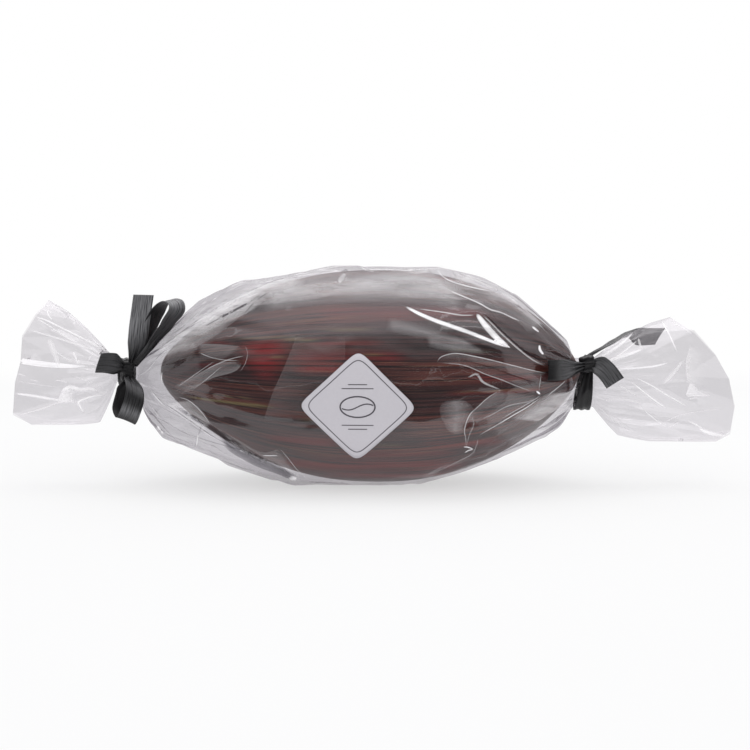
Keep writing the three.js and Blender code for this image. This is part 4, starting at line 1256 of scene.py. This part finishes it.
def knot(centre, size, lean, seed):
    """The knot: a short band of ribbon pulled tight over the bow, with folds that run across it."""
    rows, columns = 40, 64
    polar = np.linspace(0.02, math.pi - 0.02, rows)[:, None]
    turn = full_turn(columns)[None, :]
    ball = [np.sin(polar) * np.cos(turn), np.sin(polar) * np.sin(turn), np.cos(polar) + 0 * turn]
    square = [np.sign(b) * np.abs(b) ** 0.75 for b in ball]
    draw = np.random.default_rng(seed)
    fold = 0.07 * np.cos(9 * square[2] + draw.uniform(0, 6) + 1.5 * square[0])
    fold = fold + 0.05 * np.cos(6 * turn + 3 * polar)
    parts = [s * (1 + fold) * d / 2 for s, d in zip(square, size)]
    x = parts[0] * math.cos(lean) - parts[2] * math.sin(lean)
    z = parts[0] * math.sin(lean) + parts[2] * math.cos(lean)
    points = np.stack([centre[0] + x, centre[1] + parts[1], centre[2] + z], axis=-1).reshape(-1, 3)
    weave = np.stack(np.broadcast_arrays(square[2] * 5, turn * 4, 0.0), axis=-1).reshape(-1, 3)
    return points, closed_tube_faces(rows, columns), weave


def make_bow(name, pieces, material):
    """All the ribbon of one bow as one mesh."""
    vertices, faces, weave = joined(pieces)
    return new_object(name, vertices, faces, material, {"weave": weave})


def left_bow(material):
    """A long loop up, a loop hanging down, a short loop out to the side and one cut end up."""
    return make_bow("bow_left", [
        neck_band(LEFT_NECK, 7.5, 0),
        knot((-121.2, -9.4, 56.8), (7.4, 6.4, 12), 0.0, 3),
        ribbon_strip(
            [(-119.8, -9.5, 59), (-116.4, -10.5, 69.3), (-115, -11, 79.7), (-112.9, -10, 94.5)],
            [(1, 0.1, 0), (1, 0.3, 0.1), (1, 0.15, 0.05), (1, 0.05, -0.03)], 1,
            (0.02, 0.12, 0.5, 0.6, 0.5), 0.6, 5,
        ),
        ribbon_strip(
            [
                (-119.5, -8, 60), (-114.3, -7.5, 69.6), (-110.5, -7, 78), (-106.3, -7, 85.9),
                (-101.6, -8.5, 91.4), (-97, -12, 90.6), (-96.3, -14.5, 87.2), (-99.9, -15.5, 81.9),
                (-104.7, -15, 74.5), (-110.8, -13.5, 68), (-118, -10.5, 60),
            ],
            [
                (0.6, 0.7, 0), (0.55, 0.78, -0.28), (0.55, 0.78, -0.28), (0.5, 0.8, -0.3), (0.35, 0.9, 0),
                (0.6, 0.75, 0.1), (0.68, 0.7, -0.15), (0.5, 0.82, -0.25), (0.36, 0.88, -0.3),
                (0.36, 0.88, -0.3), (0.5, 0.8, -0.4),
            ], 2, (0, 0.05, 0.05, 0.05, 0.3, 0.6, 0.3, 0.15, 0.12, 0.1, 0), 0.3, 6,
        ),
        ribbon_strip(
            [
                (-121, -10, 55), (-117.4, -15.5, 50.2), (-116.6, -18.5, 45.3), (-118.3, -18.5, 38.9),
                (-121.6, -16, 32.9), (-124, -13, 36.5), (-122.4, -11, 45), (-120.8, -9.5, 53.5),
            ],
            [
                (0.88, 0, -0.45), (0.88, 0, -0.47), (0.9, -0.05, -0.42), (0.93, -0.1, -0.36),
                (0.93, -0.1, -0.34), (0.92, -0.1, -0.35), (0.9, -0.1, -0.38), (0.9, -0.1, -0.4),
            ], 2, (0, 0.12, 0.3, 0.12, 0.06, 0.06, 0.4, 0.05, 0, 0, 0, 0, 0, 0), 0.3, 7, 0.25,
        ),
        ribbon_strip(
            [
                (-121.5, -10.5, 58.2), (-125.9, -13.5, 60.7), (-130.5, -15.5, 61.5), (-134.9, -15, 61.3),
                (-130.9, -12.6, 61), (-126.2, -11.4, 59.9), (-121.5, -9.5, 58.2),
            ],
            [(0.1, 0, 1), (0.34, 0, 1), (0.1, 0, 1)], 2, (0, 0.12, 0.12, 0, 0), 0.4, 8,
        ),
    ], material)


def right_bow(material):
    """A flattened loop over the pod, a short cut end, and a long cut end that ends behind the fan."""
    return make_bow("bow_right", [
        neck_band(RIGHT_NECK, 8, 3.4, 0.5, 1.0),
        knot((106, -9.4, 60.2), (8.5, 6.5, 8.5), 0.3, 4),
        ribbon_strip(
            [
                (104.5, -9.5, 59.8), (97.4, -18, 58.8), (90.7, -26, 58.7), (85.7, -30.5, 58.9),
                (84.6, -32.4, 59.1), (88.3, -31, 59), (95.4, -23, 58.9), (104.5, -11, 59.8),
            ],
            [(0, 0, 1), (0.03, 0, 1), (0, 0, 1)], 2, (0, 0, 0, 0, 0, 0, 0.2, 0.15), 0.4, 9,
        ),
        ribbon_strip(
            [(106.7, -9.5, 60.5), (110.6, -12.5, 60.3), (114.8, -14.5, 57), (119.1, -15, 51.3)],
            [(0.3, 0, 1), (0.5, 0.1, 0.85), (0.75, 0.1, 0.65), (0.84, 0, 0.54)], 1,
            (0.1, 0.2, 0.25, 0.3), 0.7, 10,
        ),
        ribbon_strip(
            [
                (106.6, -6, 62.8), (109.3, 0, 64.4), (116.5, 7, 67.6), (123, 12.5, 70.4),
                (129.5, 17.5, 73), (137.5, 20, 71.9), (146.7, 22, 72),
            ],
            [
                (0.4, 0.9, 0), (0.2, 1, 0), (0, 1, 0), (0, 1, 0.03), (0.15, 1, 0.2),
                (0.45, 0.15, 0.9), (0.51, 0, 0.86),
            ], 1, (0, 0.1, 0.1, 0.25, 0.3), 0.5, 11,
        ),
    ], material)


# ---------------------------------------------------------------- stage, light and camera
FLOOR_GLOW = 0.56  # share of the floor's light that comes from below it, as on a light table
FLOOR_REACH = 4000
CARD_WIDTH, CARD_NEAR, CARD_FAR, CARD_HEIGHT = 1400, -1000, -120, 2
CEILING, CEILING_BRIGHT, DARK_FRONT = (0.82, 0.81, 0.82, 1), (1.4, 1.37, 1.4, 1), (0.035, 0.032, 0.035, 1)
LAMP_AIM = Vector((0, 0, 0.05))  # metres, as are the places and sizes of the lamps and the camera
CAMERA_AIM, CAMERA_DISTANCE, CAMERA_ELEVATION = Vector((0.001, 0, 0.054)), 0.885, math.radians(5)


def level_sheet(name, half_width, near, far, height, material):
    """A flat level rectangle between two distances from the pod."""
    corners = [(-half_width, near), (half_width, near), (half_width, far), (-half_width, far)]
    vertices = [(x, y, height) for x, y in corners]
    return new_object(name, vertices, [(0, 1, 2, 3)], material, smooth_faces=False)


def make_floor():
    """A pale floor that shines a little, and runs out into plain white away from the object."""
    n = Nodes("pale_floor")
    position = n.position()
    pale = n.blend(n.noise(position, 3.0), rgb(236, 236, 237), rgb(233, 233, 234))
    paper = n.shader("ShaderNodeBsdfDiffuse", Color=pale)
    sweep = n.shader("ShaderNodeEmission", Strength=1.0)
    distance = n.add("ShaderNodeVectorMath", operation="LENGTH")
    n.put(position, distance.inputs[0])
    far = n.ramp(distance.outputs["Value"], 0.3, 0.8)
    material = n.finish(n.mixed(n.math("MAXIMUM", far, FLOOR_GLOW), paper, sweep))
    floor = level_sheet("floor", FLOOR_REACH, -FLOOR_REACH, FLOOR_REACH, 0, material)
    floor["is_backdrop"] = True


def make_black_card():
    """A black card in front of the pod, which only mirrors show: it keeps the film's front clear."""
    n = Nodes("black_card")
    black = n.blend(n.noise(n.position(), 5.0), rgb(30, 28, 30), rgb(36, 34, 36))
    material = n.finish(n.shader("ShaderNodeBsdfDiffuse", Color=black))
    card = level_sheet("black_card", CARD_WIDTH / 2, CARD_NEAR, CARD_FAR, CARD_HEIGHT, material)
    card.visible_camera = card.visible_diffuse = card.visible_shadow = card.visible_transmission = False
    card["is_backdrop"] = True


def make_world():
    """White to the camera and to dull surfaces. Mirrors show a bright ceiling and a dark front."""
    n = Nodes("studio", world=True)
    heading = n.split(n.add("ShaderNodeTexCoord").outputs["Generated"])
    dark = n.math("MULTIPLY", n.ramp(heading["Y"], -0.1, -0.7), n.ramp(heading["Z"], 0.92, 0.3))
    ceiling = n.blend(n.ramp(heading["Z"], 0.5, 0.95), CEILING, CEILING_BRIGHT)
    mirrored = n.shader("ShaderNodeBackground", Color=n.blend(dark, ceiling, DARK_FRONT))
    white = n.shader("ShaderNodeBackground", Color=WHITE)
    path = n.add("ShaderNodeLightPath").outputs
    room = n.mixed(path["Is Glossy Ray"], white, mirrored)
    bpy.context.scene.world = n.finish(n.mixed(path["Is Camera Ray"], room, white))


def add_softbox(name, place, width, height, radiance, diffuse=True, glossy=True):
    """A flat lamp that faces the pod. radiance is how bright its face looks, with white paper at 1."""
    lamp = bpy.data.lights.new(name, "AREA")
    lamp.shape = "RECTANGLE"
    lamp.size, lamp.size_y = width, height
    lamp.energy = radiance * math.pi * width * height
    obj = add_to_scene(name, lamp)
    obj.location = place
    obj.rotation_euler = (LAMP_AIM - Vector(place)).to_track_quat("-Z", "Y").to_euler()
    obj.visible_diffuse, obj.visible_glossy = diffuse, glossy


def make_lights():
    add_softbox("fill_front", (0, -1.3, 0.75), 1.2, 0.8, 0.5, glossy=False)
    add_softbox("softbox_top", (0.05, 0.25, 0.9), 0.8, 0.4, 1.6)
    add_softbox("strip_right", (0.38, -0.28, 0.75), 0.5, 0.06, 2, diffuse=False)
    add_softbox("strip_left", (-0.45, -0.2, 0.6), 0.06, 0.4, 1.5, diffuse=False)
    add_softbox("strip_back", (0.0, 0.75, 0.5), 0.8, 0.08, 2, diffuse=False)


def make_camera():
    """A long lens a little above the pod, straight in front of it."""
    data = bpy.data.cameras.new("camera")
    data.lens = 85
    data.sensor_width = 36
    data.clip_start = 0.05
    camera = add_to_scene("camera", data)
    back, up = CAMERA_DISTANCE * math.cos(CAMERA_ELEVATION), CAMERA_DISTANCE * math.sin(CAMERA_ELEVATION)
    camera.location = CAMERA_AIM + Vector((0, -back, up))
    camera.rotation_euler = (CAMERA_AIM - camera.location).to_track_quat("-Z", "Y").to_euler()
    bpy.context.scene.camera = camera


# ---------------------------------------------------------------- the scene
def place(piece, slot, *nodes):
    """The piece rides on the one body and stands for the solids named. slot is not used."""
    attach(piece, "root")
    if nodes:
        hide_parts(*nodes)


make_camera()
film = film_material()
satin = satin_material()
place(make_pod(), "chocolate", "wrapped_pod")
sheath, sheath_points = make_film_sheath(film)
tail_left, left_points = make_fan("film_tail_left", LEFT_NECK, 101, film)
tail_right, right_points = make_fan("film_tail_right", RIGHT_NECK, 202, film)
place(sheath, "film", "wrapped_pod")
place(tail_left, "film", "film_fan_left")
place(tail_right, "film", "film_fan_right")
# Strips that paint highlights, reflections and shade onto the film and its fans.
painted_light_film = painted_light_material()
sheath_painted_light = make_painted_light("sheath_painted_light", sheath_points, SHEATH_PAINTED_LINES, SHEATH_PAINTED_PATCHES, painted_light_film, True)
left_painted_light = make_painted_light("left_tail_painted_light", left_points, LEFT_TAIL_PAINTED_LINES, LEFT_TAIL_PAINTED_PATCHES, painted_light_film)
right_painted_light = make_painted_light("right_tail_painted_light", right_points, RIGHT_TAIL_PAINTED_LINES, RIGHT_TAIL_PAINTED_PATCHES, painted_light_film)
place(sheath_painted_light, "film", "wrapped_pod")
place(left_painted_light, "film", "film_fan_left")
place(right_painted_light, "film", "film_fan_right")
place(left_bow(satin), "ribbon", "ribbon_left")
place(right_bow(satin), "ribbon", "ribbon_right")
place(make_label(), "label", "label")
place(make_label_print(), "label", "label")
make_floor()
make_black_card()
make_world()
make_lights()

scene = bpy.context.scene
scene.view_settings.view_transform = "Standard"
scene.cycles.transparent_max_bounces = 32

{"cad": CAD_BOX, "visual": [list(corner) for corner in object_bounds()]}
